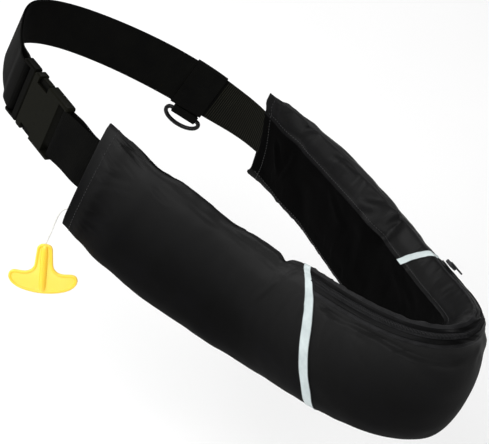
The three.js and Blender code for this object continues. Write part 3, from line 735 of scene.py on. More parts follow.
@dataclass(frozen=True)
class CoatedSteel(MottledFinish):
    """Steel wire with a glossy black coating, faintly rippled, bright along its turns."""

    name: str = "black_coated_steel"
    colour: str = "060606"
    patch: str = "151516"
    patch_size: float = 5 * MM
    spread: float = 0.08
    roughness: float = 0.25
    specular: float = 0.16
    ripple: float = 1.5 * MM
    ripple_depth: float = 0.04 * MM

    def pattern(self, tree: bpy.types.NodeTree, shader: bpy.types.Node) -> None:
        """Add dull patches and a slight ripple of the coating.

        Args:
            tree: the material's nodes.
            shader: the shader that gets them.
        """
        self.mottle(tree, shader)
        ripples = node(tree, "ShaderNodeTexNoise", {
            "Vector": node(tree, "ShaderNodeTexCoord").outputs["Object"],
            "Scale": 1 / self.ripple})
        self.emboss(tree, shader, (ripples.outputs["Fac"], self.ripple_depth, 0.5))


@dataclass(frozen=True)
class BraidedCord(MottledFinish):
    """Thin braided polyester cord, off-white, with a soft bloom of fibres at its edges."""

    name: str = "braided_polyester_cord"
    colour: str = "D9D9D4"
    patch: str = "EDEDE8"
    patch_size: float = 9 * MM
    roughness: float = 0.6
    specular: float = 0.4
    sheen: float = 0.2
    strand: float = 1.8 * MM
    strand_depth: float = 0.1 * MM

    def pattern(self, tree: bpy.types.NodeTree, shader: bpy.types.Node) -> None:
        """Add soiled patches and crossing strands.

        Args:
            tree: the material's nodes.
            shader: the shader that gets them.
        """
        self.mottle(tree, shader)
        along, across = uv_waves(tree, self.strand, self.strand / 2)
        braid = node(tree, "ShaderNodeMath", {0: along, 1: across}, operation="MULTIPLY")
        self.emboss(tree, shader, (braid.outputs[0], self.strand_depth, 0.6))


@dataclass(frozen=True)
class SewingThread(MottledFinish):
    """Bonded polyester thread: thin, twisted, a little glossier than the cloth it holds."""

    name: str = "bonded_polyester_thread"
    colour: str = "171718"
    patch: str = "222223"
    patch_size: float = 6 * MM
    roughness: float = 0.45
    specular: float = 0.25
    twist: float = 0.4 * MM
    twist_depth: float = 0.06 * MM

    def pattern(self, tree: bpy.types.NodeTree, shader: bpy.types.Node) -> None:
        """Add the thread's twist.

        Args:
            tree: the material's nodes.
            shader: the shader that gets it.
        """
        self.mottle(tree, shader)
        twist = node(tree, "ShaderNodeTexNoise", {
            "Vector": node(tree, "ShaderNodeTexCoord").outputs["Object"],
            "Scale": 1 / self.twist})
        self.emboss(tree, shader, (twist.outputs["Fac"], self.twist_depth, 0.6))


@dataclass(frozen=True)
class FloorPaint(Finish):
    """Matt white paint on the studio's floor, faintly uneven."""

    name: str = "pale_floor"
    colour: str = "EEEEEE"
    light: str = "F2F2F2"
    roughness: float = 0.9

    def pattern(self, tree: bpy.types.NodeTree, shader: bpy.types.Node) -> None:
        """Add broad faint patches.

        Args:
            tree: the material's nodes.
            shader: the shader that gets them.
        """
        grain = node(tree, "ShaderNodeTexNoise", {
            "Vector": node(tree, "ShaderNodeTexCoord").outputs["Object"], "Scale": 3.0})
        tone = node(tree, "ShaderNodeValToRGB", {"Fac": grain.outputs["Fac"]})
        shade(tone, (0.0, self.colour), (1.0, self.light))
        tree.links.new(tone.outputs["Color"], shader.inputs["Base Color"])


# ------------------------------------------------------------------ the belt's line

@dataclass
class BeltLine:
    """The webbing's middle line: a closed uniform B-spline through listed rows, each a share
    of the loop's width, depth and rise, and a lean in degrees."""

    width: float = 260 * MM
    depth: float = 514 * MM
    rise: float = 73 * MM
    rows: tuple[tuple[float, float, float, float], ...] = (
        (-0.250, -0.516, 0.000, 0), (-0.431, -0.484, 0.123, 2), (-0.412, -0.360, -0.041, 2),
        (-0.308, -0.235, -0.342, -2), (-0.362, -0.088, -0.205, -8), (-0.492, 0.076, 0.219, -8),
        (-0.508, 0.239, 0.438, -6), (-0.412, 0.372, 0.493, -5), (-0.223, 0.451, 0.507, -9),
        (-0.046, 0.508, 0.466, -9), (0.138, 0.461, 0.329, -5), (0.315, 0.340, 0.096, 1),
        (0.446, 0.243, -0.178, 2), (0.531, 0.138, -0.438, -8), (0.423, -0.025, -0.507, -12),
        (0.219, -0.243, -0.521, -3), (-0.031, -0.407, -0.370, 0))
    lengths: Array = field(init=False)
    shares: Array = field(init=False)

    def __post_init__(self) -> None:
        """Measure the line once, for reading it by distance."""
        self.shares = np.linspace(0, 1, 1701)
        self.lengths = run_length(self.at(self.shares)[:, :3])

    @property
    def total(self) -> float:
        """Length of the closed line."""
        return float(self.lengths[-1])

    def at(self, share: Array) -> Array:
        """Read the spline: four cubic weights over neighbouring rows.

        Args:
            share: share of the rows' round, any shape.

        Returns:
            x, y, z and lean, (..., 4).
        """
        table = np.array(self.rows) * [self.width, self.depth, self.rise, 1]
        run = np.mod(share, 1) * len(table)
        low = np.floor(run).astype(int)
        f = run - low
        weights = np.stack([(1 - f) ** 3, 3 * f ** 3 - 6 * f ** 2 + 4,
                            -3 * f ** 3 + 3 * f ** 2 + 3 * f + 1, f ** 3], -1) / 6
        rows = table[(low[..., None] + np.arange(-1, 3)) % len(table)]
        return np.einsum("...k,...kc->...c", weights, rows)

    def frame(self, distance: Array) -> tuple[Array, Array, Array, Array]:
        """Read the point and axes at distances from the front tip, + on the wearer's right.

        Args:
            distance: metres along the line, any shape.

        Returns:
            Point, along, outward and upright, each (..., 3).
        """
        share = np.interp(np.mod(distance / self.total, 1), self.lengths / self.total, self.shares)
        here = self.at(share)
        along = unit(self.at(share + 1e-4)[..., :3] - self.at(share - 1e-4)[..., :3])
        outward = unit(np.cross([0.0, 0.0, 1.0], along))
        upright = np.cross(along, outward)
        lean = np.radians(here[..., 3:])
        return (here[..., :3], along, outward * np.cos(lean) - upright * np.sin(lean),
                upright * np.cos(lean) + outward * np.sin(lean))

    def place(self, distance: Array, outward: Array, upright: Array) -> Array:
        """Give the point at offsets from the line.

        Args:
            distance: along the line.
            outward: away from the wearer.
            upright: up the webbing's width.

        Returns:
            Points, (..., 3).
        """
        point, _, out, up = self.frame(np.asarray(distance, float))
        return point + out * np.asarray(outward)[..., None] + up * np.asarray(upright)[..., None]


# ------------------------------------------------------------------ the pouch

@dataclass(frozen=True)
class Fold:
    """One soft fold or dent: a Gaussian ridge lying at an angle on the cloth. along is a share of
    half the pouch, around a share of its section, turn 0 lies along the pouch and 90 round it."""

    along: float
    around: float
    length: float
    width: float
    depth: float
    turn: float = 0.0


@dataclass(frozen=True)
class Crease:
    """One narrow crease in the cloth from one place to another, each a share of half the pouch
    and a place round the section: a ridge of Gaussian width, fading towards both ends, bowed
    sideways by bow times its length, with a shadowed groove beside it."""

    start: tuple[float, float]
    end: tuple[float, float]
    width: float
    depth: float
    bow: float = 0.0


@dataclass(frozen=True)
class SettlingCloth:
    """The values that Blender's Cloth gets: stiff packcloth, cut 2% larger than the form, over a
    soft filling that presses it outwards."""

    quality: int = 5
    mass: float = 0.15
    tension_stiffness: float = 20
    compression_stiffness: float = 20
    shear_stiffness: float = 8
    bending_stiffness: float = 0.15
    shrink_min: float = -0.02
    use_pressure: bool = True
    uniform_pressure_force: float = 1.2


@dataclass
class Pouch:
    """The long padded pouch: a stuffed tube of nylon with an open mouth at each end, two
    reflective strips, and a zipper along its top between them. A place round the section counts
    the points of its table, from the inner top seam over the outer face to the bottom edge and up
    the inner panel."""

    belt: BeltLine
    length: float = 765 * MM
    height: float = 120 * MM
    thickness: float = 40 * MM
    drop: float = 9 * MM
    cloth: float = 1.2 * MM
    mouth: float = 28 * MM
    rake: float = 9 * MM
    hem_cut: float = 9 * MM
    shoulder: float = 0.35
    roundness: float = 0.8
    angles: tuple[float, ...] = (0, 8, 15, 22, 29, 37, 50, 66, 82, 98, 114, 130, 146, 163, 180)
    sections: tuple[tuple[float, float, float, float], ...] = (
        (-1.00, 0.450, 0.405, 0.30), (-0.94, 0.455, 0.430, 0.55), (-0.85, 0.465, 0.470, 0.82),
        (-0.72, 0.475, 0.480, 1.00), (-0.40, 0.495, 0.495, 1.00), (0.00, 0.495, 0.495, 1.00),
        (0.34, 0.495, 0.495, 1.00), (0.48, 0.462, 0.492, 1.00), (0.72, 0.448, 0.475, 1.00),
        (0.85, 0.455, 0.462, 0.82), (0.94, 0.452, 0.452, 0.55), (1.00, 0.450, 0.455, 0.30))
    right_strip: tuple[tuple[float, float], ...] = (
        (0.00, 0.395), (0.07, 0.368), (0.27, 0.325), (0.53, 0.284), (0.80, 0.276), (1.00, 0.291))
    left_strip: tuple[tuple[float, float], ...] = (
        (0.00, -0.337), (0.07, -0.268), (0.27, -0.268), (0.53, -0.290), (0.80, -0.290),
        (1.00, -0.300))
    folds: tuple[Fold, ...] = (
        Fold(0.455, 0.06, 8 * MM, 20 * MM, -4.0 * MM),
        Fold(0.66, 0.08, 19 * MM, 26 * MM, -2.0 * MM),
        Fold(0.86, 0.08, 17 * MM, 24 * MM, -3.2 * MM),
        Fold(0.80, 0.40, 23 * MM, 46 * MM, 2.4 * MM),
        Fold(0.56, 0.62, 42 * MM, 28 * MM, 2.0 * MM),
        Fold(0.06, 0.93, 19 * MM, 23 * MM, 6.4 * MM),
        Fold(0.16, 0.325, 44 * MM, 10 * MM, -2.6 * MM),
        Fold(0.16, 0.47, 48 * MM, 27 * MM, 3.2 * MM),
        Fold(-0.44, 0.03, 11 * MM, 14 * MM, -4.8 * MM),
        Fold(-0.50, 0.97, 15 * MM, 17 * MM, 2.8 * MM),
        Fold(-0.60, 0.90, 31 * MM, 26 * MM, 2.8 * MM),
        Fold(-0.84, 0.05, 11 * MM, 17 * MM, -4.0 * MM),
        Fold(-0.90, 0.92, 15 * MM, 23 * MM, 3.6 * MM),
        Fold(-0.78, 0.86, 15 * MM, 23 * MM, -2.4 * MM),
    )
    creases: tuple[Crease, ...] = (
        Crease((0.990, 7.2), (0.915, 7.4), 3.0 * MM, 1.8 * MM, 0.05),
        Crease((0.978, 8.6), (0.885, 7.5), 3.4 * MM, 2.1 * MM, 0.08),
        Crease((0.965, 9.6), (0.870, 7.9), 3.0 * MM, 1.7 * MM, -0.06),
        Crease((0.972, 4.0), (0.900, 5.7), 3.4 * MM, 2.0 * MM, 0.06),
        Crease((0.950, 11.2), (0.875, 9.9), 3.0 * MM, 1.4 * MM, 0.08),
        Crease((0.975, 2.4), (0.925, 3.6), 2.6 * MM, 1.3 * MM),
        Crease((0.860, 6.6), (0.800, 7.0), 3.2 * MM, 0.8 * MM, 0.10),
        Crease((0.350, 2.2), (0.400, 6.4), 3.0 * MM, 1.1 * MM, 0.06),
        Crease((0.420, 6.2), (0.505, 8.6), 3.6 * MM, 1.0 * MM, -0.08),
        Crease((0.285, 6.5), (0.203, 6.8), 3.0 * MM, 2.1 * MM, 0.06),
        Crease((0.215, 6.7), (0.120, 7.0), 3.2 * MM, 2.0 * MM, -0.07),
        Crease((0.150, 6.8), (0.070, 7.3), 2.8 * MM, 2.1 * MM, 0.05),
        Crease((0.183, 6.9), (0.155, 8.4), 3.4 * MM, 1.3 * MM, 0.10),
        Crease((0.126, 7.0), (0.100, 8.3), 3.0 * MM, 1.3 * MM, -0.08),
        Crease((0.085, 2.0), (0.042, 6.0), 3.0 * MM, 2.0 * MM, 0.07),
        Crease((0.050, 1.6), (0.010, 5.4), 2.8 * MM, 1.7 * MM, -0.05),
        Crease((0.020, 5.6), (-0.030, 8.6), 3.4 * MM, 1.5 * MM, 0.06),
        Crease((-0.321, 19.6), (-0.193, 19.1), 3.0 * MM, 1.4 * MM, 0.05),
        Crease((-0.360, 19.3), (-0.250, 18.7), 3.4 * MM, 1.3 * MM, -0.05),
        Crease((-0.450, 0.4), (-0.452, 2.2), 4.0 * MM, -2.5 * MM, 0.08),
        Crease((-0.585, 0.2), (-0.490, 1.0), 3.2 * MM, 1.7 * MM, 0.06),
        Crease((-0.676, 19.6), (-0.584, 18.8), 3.2 * MM, 1.4 * MM, 0.08),
        Crease((-0.740, 0.5), (-0.630, 0.8), 3.0 * MM, 1.3 * MM, -0.06),
        Crease((-0.856, 0.5), (-0.800, 1.8), 3.2 * MM, 1.7 * MM),
        Crease((-0.885, 17.4), (-0.835, 19.7), 3.6 * MM, 2.1 * MM, 0.06),
        Crease((-0.945, 19.2), (-0.890, 17.6), 3.4 * MM, 2.0 * MM, -0.08),
        Crease((-0.965, 0.8), (-0.900, 1.6), 3.0 * MM, 1.8 * MM, 0.06),
        Crease((-0.960, 2.6), (-0.890, 3.8), 3.4 * MM, 1.7 * MM),
    )
    # places round the section
    top_seam: float = 0.14
    bottom_edge: int = 15
    panel_seam: float = 16.3
    zipper: float = 3.5
    zipper_width: float = 4.6
    zipper_hold: float = 5.2
    zipper_rows: tuple[float, float] = (1.45, 5.55)
    welts: tuple[float, float] = (2.35, 4.65)
    welt_width: float = 1.0
    # the trim's sizes, and how far its stitches stand from hems and strips
    hem_row: float = 9 * MM
    strip_width: float = 10.5 * MM
    strip_thickness: float = 0.5 * MM
    strip_row: float = 3.7 * MM
    strip_gap: float = 6.0 * MM
    tape_rise: tuple[float, float] = (0.5 * MM, 0.35 * MM)  # thickness and lift
    welt_rise: tuple[float, float] = (1.1 * MM, 0.5 * MM)
    coil_pitch: float = 1.35 * MM
    coil_wire: float = 0.34 * MM
    coil_rise: float = 0.6 * MM
    seam_ridge: tuple[float, float] = (0.9 * MM, 1.3 * MM)
    seam_gutter: tuple[float, float, float] = (0.7 * MM, 2.2 * MM, 3.5 * MM)
    # how far sewing holds the cloth beside strips and hems, and in places beside seams
    strip_hold: float = 5 * MM
    hem_hold: float = 11 * MM
    seam_hold: float = 0.2
    # the skin's grid and the settling net
    skin_size: tuple[int, int] = (390, 144)
    girth: float = 320 * MM
    weave: SettlingCloth = SettlingCloth()
    net_size: tuple[int, int] = (256, 84)
    settling_steps: int = 20
    settled_cap: float = 4 * MM
    settled_share: float = 0.36

    def __post_init__(self) -> None:
        """Lay out the closed section table: the inner top seam, the outer face, the inner panel."""
        angle = np.radians(self.angles)
        bulge = np.maximum(0, np.sin(angle)) ** self.roundness
        outer = np.stack([np.cos(angle), self.shoulder + (1 - self.shoulder) * bulge], -1)
        inner = [(-0.80, 0.0), (-0.44, -0.03), (-0.07, -0.04), (0.30, -0.03)]
        self.table = np.vstack([[(0.66, 0.0)], outer, inner])
        self.half = self.length / 2
        rng = np.random.default_rng(7)
        self.waves = np.stack([
            rng.uniform(18, 60, 26) * MM, rng.uniform(0, np.pi, 26),
            rng.uniform(0, 2 * np.pi, 26), rng.uniform(0.02, 0.05, 26) * MM], -1)
        self.creased = np.array([(*c.start, *c.end, c.width, c.depth, c.bow) for c in self.creases]
                                + self.puckers(rng))
        self.net = np.zeros((2, 4))

    def puckers(self, rng: np.random.Generator) -> list[tuple[float, ...]]:
        """Scatter the short puckers that sewing draws in beside each seam.

        Args:
            rng: the seeded source of their places, lengths and depths.

        Returns:
            Rows like a crease's own: start, end, width, depth and bow.
        """
        rows = []
        seams = (  # each: from and to along, place round, longest (and which way), how many
            (-0.97, 0.97, 0.3, 1.3, 36), (-0.95, 0.95, 16.2, -2.4, 40),
            (-0.95, 0.95, 16.6, 1.4, 34), (-0.25, 0.36, 6.4, 2.6, 60), (-0.25, 0.36, 0.8, 1.2, 40))
        for first, last, around, reach, count in seams:
            for along in np.sort(rng.uniform(first, last, count)):
                slant = rng.normal(0, 0.015)
                length = reach * rng.uniform(0.35, 1.0)
                rows.append((along, around, along + slant, around + length,
                             rng.uniform(1.2, 3.0) * MM, rng.uniform(0.15, 0.55) * MM,
                             rng.normal(0, 0.08)))
        for end in (-1, 1):
            for around in rng.uniform(0, 15, 16):
                rows.append((end * 0.965, around, end * (0.965 - rng.uniform(0.03, 0.11)),
                             around + rng.normal(0, 0.5), rng.uniform(1.5, 3.0) * MM,
                             rng.uniform(0.3, 0.9) * MM, rng.normal(0, 0.06)))
        return rows

    def held(self, distance: Array, around: Array) -> Array:
        """Say where sewing holds the cloth: hems, both long seams, the strips and the zipper.

        Args:
            distance: along the belt line.
            around: place round the section.

        Returns:
            True where it is held.
        """
        right = self.strip_line(self.right_strip, around)
        left = self.strip_line(self.left_strip, around)
        off_strip = np.minimum(np.abs(distance - right), np.abs(distance - left))
        strips = (around <= self.bottom_edge) & (off_strip < self.strip_hold)
        zipper = (distance < right) & (distance > left) & (
            np.abs(around - self.zipper) < self.zipper_hold / 2)
        off_top = np.abs(around - np.round(around / self.sides) * self.sides)
        seams = np.minimum(off_top, np.abs(around - self.panel_seam)) < self.seam_hold
        return strips | zipper | seams | (np.abs(distance) > self.half - self.hem_hold)

    def settle(self) -> None:
        """Let the stuffed cloth settle. A net over the skin is cut a little larger than the form,
        swells under a small pressure without gravity, and is held where it is sewn. How far it
        moves off the plain form is smoothed, capped and scaled, and read back as relief."""
        rows, columns = self.net_size
        distance, around = np.meshgrid(np.linspace(-self.half, self.half, rows),
                                       np.arange(columns) / columns * self.sides, indexing="ij")
        start = self.point(distance, around)
        off = self.normal(distance, around)
        patch = Patch.grid(start)
        a, b, c = (patch.points[patch.faces[0, k]] for k in (0, 1, 2))
        inside_out = np.dot(np.cross(b - a, c - b), off.reshape(-1, 3)[patch.faces[0, 0]]) < 0
        mesh = bpy.data.meshes.new("settling_net")
        faces = patch.faces[:, ::-1] if inside_out else patch.faces
        mesh.from_pydata(patch.points, [], faces.tolist())
        net = bpy.data.objects.new("settling_net", mesh)
        scene = bpy.context.scene
        scene.collection.objects.link(net)
        group = net.vertex_groups.new(name="held")
        group.add(np.flatnonzero(self.held(distance, around)).tolist(), 1.0, "REPLACE")
        cloth = net.modifiers.new("cloth", "CLOTH")
        cloth.settings.vertex_group_mass = "held"
        for setting, value in asdict(self.weave).items():
            setattr(cloth.settings, setting, value)
        cloth.settings.effector_weights.gravity = 0
        cloth.collision_settings.use_collision = False
        cloth.point_cache.frame_end = self.settling_steps
        for step in range(1, self.settling_steps + 1):
            scene.frame_set(step)
        moved = np.empty(rows * columns * 3)
        settled = net.evaluated_get(bpy.context.evaluated_depsgraph_get())
        settled.data.vertices.foreach_get("co", moved)
        scene.frame_set(1)
        soft = np.einsum("rck,rck->rc", moved.reshape(rows, columns, 3) - start, off)
        bpy.data.objects.remove(net)
        bpy.data.meshes.remove(mesh)
        for axis in (0, 1, 0, 1):
            soft = (np.roll(soft, 1, axis) + 2 * soft + np.roll(soft, -1, axis)) / 4
        self.net = self.settled_share * self.settled_cap * np.tanh(soft / self.settled_cap)
        LOG.info("cloth settled: %.1f to %.1f mm", self.net.min() / MM, self.net.max() / MM)

    def settled(self, distance: Array, turn: Array) -> Array:
        """Read the settled net between its points with cubics along and round.

        Args:
            distance: along the belt line.
            turn: share of the way round.

        Returns:
            Height off the plain form.
        """
        rows, columns = self.net.shape
        r = np.clip(0.5 + distance / self.half / 2, 0, 1) * (rows - 1)
        low_r = np.clip(np.floor(r).astype(int), 0, rows - 2)
        low_c = np.floor(turn * columns).astype(int)
        lines = [cubic(*(self.net[np.clip(low_r + i, 0, rows - 1), (low_c + k) % columns]
                         for k in (-1, 0, 1, 2)), turn * columns - low_c) for i in (-1, 0, 1, 2)]
        return cubic(*lines, r - low_r)

    @property
    def sides(self) -> int:
        """How many places the section has."""
        return len(self.table)

    def size(self, distance: Array) -> tuple[Array, Array, Array]:
        """Blend the section rows: top, bottom and thickness along the pouch.

        Args:
            distance: along the belt line.

        Returns:
            The three sizes.
        """
        rows = np.array(self.sections)
        along = np.clip(distance / self.half, -1, 1)
        high = np.clip(np.searchsorted(rows[:, 0], along), 1, len(rows) - 1)
        low = high - 1
        f = smoothstep(0, 1, (along - rows[low, 0]) / (rows[high, 0] - rows[low, 0]))
        top, bottom, thick = (rows[low, k] + (rows[high, k] - rows[low, k]) * f for k in (1, 2, 3))
        return top * self.height, bottom * self.height, thick * self.thickness

    def section(self, distance: Array, around: Array, inset: Array) -> Array:
        """Give the section's point in the outward and upright directions.

        Args:
            distance: along the belt line.
            around: place round the section, 0 at the inner top seam.
            inset: how far inside the skin.

        Returns:
            Outward and upright, (..., 2).
        """
        shape = ring_spline(self.table, np.mod(around, self.sides))
        rise, out = shape[..., 0], shape[..., 1]
        top, bottom, thick = self.size(distance)
        reach = np.where(rise > 0, top, bottom) - inset
        return np.stack([inset + out * (thick - 2 * inset), rise * reach - self.drop], -1)

    def relief(self, distance: Array, around: Array) -> Array:
        """Sum what stands off the plain form: the settled cloth, Gaussian folds, creases with a
        groove beside them, slow sine waves, and the top seam's ridge with its groove.

        Args:
            distance: along the belt line.
            around: place round the section.

        Returns:
            Height over the plain form.
        """
        turn = np.mod(around, self.sides) / self.sides
        arc = self.girth
        height = self.settled(distance, turn)
        for fold in self.folds:
            x = distance - fold.along * self.half
            gap = turn - fold.around
            y = (gap - np.round(gap)) * arc
            angle = np.radians(fold.turn)
            u = (x * np.cos(angle) + y * np.sin(angle)) / fold.length
            v = (y * np.cos(angle) - x * np.sin(angle)) / fold.width
            height = height + fold.depth * np.exp(-u * u - v * v)
        for s0, a0, s1, a1, width, depth, bow in self.creased:
            run = np.array([(s1 - s0) * self.half, (a1 - a0) / self.sides * arc])
            length = np.hypot(*run)
            gap = turn - a0 / self.sides
            x, y = distance - s0 * self.half, (gap - np.round(gap)) * arc
            t = (x * run[0] + y * run[1]) / length ** 2
            v = (y * run[0] - x * run[1]) / length + bow * length * (1 - (2 * t - 1) ** 2)
            fade = smoothstep(-0.05, 0.3, t) * (1 - smoothstep(0.55, 1.1, t))
            height = height + depth * fade * (
                np.exp(-(v / width) ** 2) - 0.8 * np.exp(-((v - 1.7 * width) / (1.1 * width)) ** 2))
        for wave, direction, phase, depth in self.waves:
            x = distance / wave * np.cos(direction)
            y = np.round(np.sin(direction) * arc / wave) * turn
            height = height + depth * np.sin(2 * np.pi * (x + y) + phase)
        seam = (turn - np.round(turn)) * arc
        (ridge, ridge_width), (gutter, gutter_width, beside) = self.seam_ridge, self.seam_gutter
        height = height + ridge * np.exp(-(seam / ridge_width) ** 2)
        return height - gutter * np.exp(-((seam - beside) / gutter_width) ** 2)

    def point(self, distance: Array, around: Array, lift: Array = 0.0, inset: Array = 0.0) -> Array:
        """Give a point of the cloth: the section's point, moved off it by lift plus relief, and
        drawn back at the mouths, which are cut raked and hollow.

        Args:
            distance: along the belt line.
            around: place round the section.
            lift: height over the cloth.
            inset: how far inside the skin.

        Returns:
            Points, (..., 3).
        """
        distance, around, lift, inset = np.broadcast_arrays(
            *(np.asarray(v, float) for v in (distance, around, lift, inset)))
        here = self.section(distance, around, inset)
        chord = unit(self.section(distance, around + 0.6, inset)
                     - self.section(distance, around - 0.6, inset))
        lift = lift + self.relief(distance, around)
        outward = here[..., 0] - chord[..., 1] * lift
        upright = here[..., 1] + chord[..., 0] * lift
        shape = ring_spline(self.table, np.mod(around, self.sides))
        fade = smoothstep(0.8, 1.0, np.abs(distance) / self.half)
        rake = self.rake * (1 - shape[..., 0]) / 2
        panel = 1 - smoothstep(0, 0.2, shape[..., 1])
        inner = (distance < 0) * self.hem_cut * (1 - shape[..., 0] ** 2) * panel
        cut = np.sign(distance) * (rake + inner) * fade
        return self.belt.place(distance - cut, outward, upright)

    def normal(self, distance: Array, around: Array) -> Array:
        """Give the direction off the cloth."""
        return unit(self.point(distance, around, 0.5 * MM) - self.point(distance, around))

    def skin(self) -> Patch:
        """Cover the tube: from inside one mouth, round its hem, over the skin and into the other.

        Returns:
            The closed patch.
        """
        rows, columns = self.skin_size
        around = np.arange(columns) / columns * self.sides
        lip = np.linspace(0, 1, 5)[1:-1]
        body = np.linspace(-self.half, self.half, rows)
        inside = np.linspace(0, self.mouth, 12)
        turn = self.cloth
        rim = -self.half - np.sin(lip * np.pi) * turn * 0.8
        left_s = np.concatenate([-self.half + inside[::-1], rim])
        left_in = np.concatenate([np.full(len(inside), 2 * turn), turn * (1 + np.cos(lip * np.pi))])
        s = np.concatenate([left_s, body, -left_s[::-1]])
        inset = np.concatenate([left_in, np.zeros(len(body)), left_in[::-1]])
        rings = self.point(s[:, None], around[None, :], 0.0, inset[:, None])
        shrink = np.array([0.0, 0.35, 0.7])[:, None, None]
        middles = rings.mean(axis=1)
        first = middles[0] + (rings[0] - middles[0]) * shrink
        last = middles[-1] + (rings[-1] - middles[-1]) * shrink[::-1]
        edge = np.arange(columns + 1) / columns * self.girth
        along = np.concatenate([[s[0]] * 3, s, [s[-1]] * 3])
        return Patch.grid(np.concatenate([first, rings, last]), grid_uv(along, edge))

    def strip_line(self, strip: tuple[tuple[float, float], ...], around: Array) -> Array:
        """Give a strip's middle along the belt at a place round the section."""
        rows = np.array(strip)
        return np.interp(around / self.bottom_edge, rows[:, 0], rows[:, 1]) * self.half

    def strip(self, rows: tuple[tuple[float, float], ...]) -> Patch:
        """Lay a flat tape over the skin from the inner top seam to the bottom edge.

        Args:
            rows: where its middle runs.

        Returns:
            The closed tape.
        """
        around = np.linspace(0, self.bottom_edge, 150)
        middle = np.pad(self.strip_line(rows, around), 4, mode="edge")
        middle = np.convolve(middle, np.ones(9) / 9, mode="valid")
        profile = flat_profile(self.strip_width, self.strip_thickness, 8)
        points = self.point(middle[:, None] + profile[None, :, 0], around[:, None],
                            0.45 * MM + profile[None, :, 1])
        return self.capped(points, profile)

    def capped(self, points: Array, profile: Array) -> Patch:
        """Close the two ends of a band and give it its own UV.

        Args:
            points: rows of profile points.
            profile: the profile.

        Returns:
            The closed band.
        """
        middle = points.mean(axis=1, keepdims=True)
        uv = grid_uv(run_length(middle[:, 0]), np.append(profile[:, 0], profile[0, 0]))
        rows = np.concatenate([np.broadcast_to(middle[:1], points[:1].shape), points,
                               np.broadcast_to(middle[-1:], points[:1].shape)])
        return Patch.grid(rows, np.concatenate([uv[:1], uv, uv[-1:]]))

    def band_run(self, around: float, count: int) -> tuple[Array, Array]:
        """Lay out the zipper's line between the strips at one place round the section.

        Args:
            around: the place.
            count: how many points.

        Returns:
            Distances and places.
        """
        ends = [float(self.strip_line(rows, np.array(around))) + side * self.strip_gap
                for rows, side in ((self.left_strip, 1), (self.right_strip, -1))]
        return np.linspace(ends[0], ends[1], count), np.full(count, around)

    def band(self, around: float, width: float, thickness: float, lift: float) -> Patch:
        """Lay a flat band along the zipper's line.

        Args:
            around: the band's middle place round the section.
            width: in places round the section.
            thickness: of the band.
            lift: of its underside off the skin.

        Returns:
            The closed band.
        """
        flat = 0.12
        profile = flat_profile(1.0, flat, 7) * [width, thickness / flat]
        start, stop = np.array([self.band_run(around + x, 2)[0] for x in profile[:, 0]]).T
        s = start + (stop - start) * np.linspace(0, 1, 260)[:, None]
        height = lift + thickness / 2 + profile[None, :, 1]
        points = self.point(s, around + profile[None, :, 0], height)
        return self.capped(points, profile * [5 * MM, 1])

    def coil(self) -> Patch:
        """Wind the zipper's two interlocked coils: each a flattened helix along its line.

        Returns:
            Both coils.
        """
        pitch, steps = self.coil_pitch, 10
        s, _ = self.band_run(self.zipper, 2)
        turns = int((s[1] - s[0]) / pitch)
        angle = np.arange(turns * steps + 1) / steps * 2 * np.pi
        parts = []
        for side in (-1, 1):
            distance = s[0] + (angle / (2 * np.pi) + (side > 0) * 0.5) * pitch
            across = self.zipper + side * 0.11 + np.cos(angle) * 0.24
            height = 1.3 * MM + np.sin(angle) * self.coil_rise
            path = self.point(distance, across, height)
            tangent = unit(np.gradient(path, axis=0))
            out = self.normal(distance, across)
            side_dir = unit(np.cross(tangent, out))
            parts.append(sweep(path, side_dir, np.cross(side_dir, tangent),
                               round_profile(self.coil_wire, 5)))
        return Patch.joined(parts)

    def stitches(self, distance: Array, around: Array) -> Patch:
        """Sew a row of stitches along a line on the skin.

        Args:
            distance: the line's places along the belt.
            around: its places round the section.

        Returns:
            All the stitches.
        """
        run = run_length(self.point(distance, around, 0.1 * MM))
        at = np.arange(STITCH / 2, run[-1] - STITCH / 2, STITCH)
        here, ahead = ((np.interp(reach, run, distance), np.interp(reach, run, around))
                       for reach in (at, at + STITCH / 4))
        middle = self.point(*here, 0.15 * MM)
        along = unit(self.point(*ahead, 0.15 * MM) - middle)
        return stitch_row(middle, along, self.normal(*here), STITCH * 0.74)


def stitch_row(middle: Array, along: Array, off: Array, length: float,
               width: float = 0.75 * MM) -> Patch:
    """Make one small rounded thread at each place: a capsule whose radius swells to its middle.

    Args:
        middle: places, (n, 3).
        along: directions of the threads.
        off: directions off the surface.
        length: of each thread.
        width: of each thread.

    Returns:
        All the threads.
    """
    rings = sides = 6
    x = np.linspace(-0.5, 0.5, rings)
    radius = np.sqrt(np.maximum(0, 1 - (2 * x) ** 2)) * width / 2
    angle = np.arange(sides) / sides * 2 * np.pi
    side = unit(np.cross(off, along))
    local = np.stack([
        np.broadcast_to(x[:, None] * length, (rings, sides)),
        radius[:, None] * np.cos(angle)[None, :],
        radius[:, None] * np.sin(angle)[None, :] * 0.7], -1)
    axes = np.stack([along, side, off], 1)
    points = middle[:, None, None] + np.einsum("rck,nkd->nrcd", local, axes)
    base = Patch.grid(points[0])
    count = len(middle)
    faces = (base.faces[None] + np.arange(count)[:, None, None] * rings * sides).reshape(-1, 4)
    return Patch(points.reshape(-1, 3), faces, np.tile(base.uv, (count, 1, 1)))


# ------------------------------------------------------------------ webbing

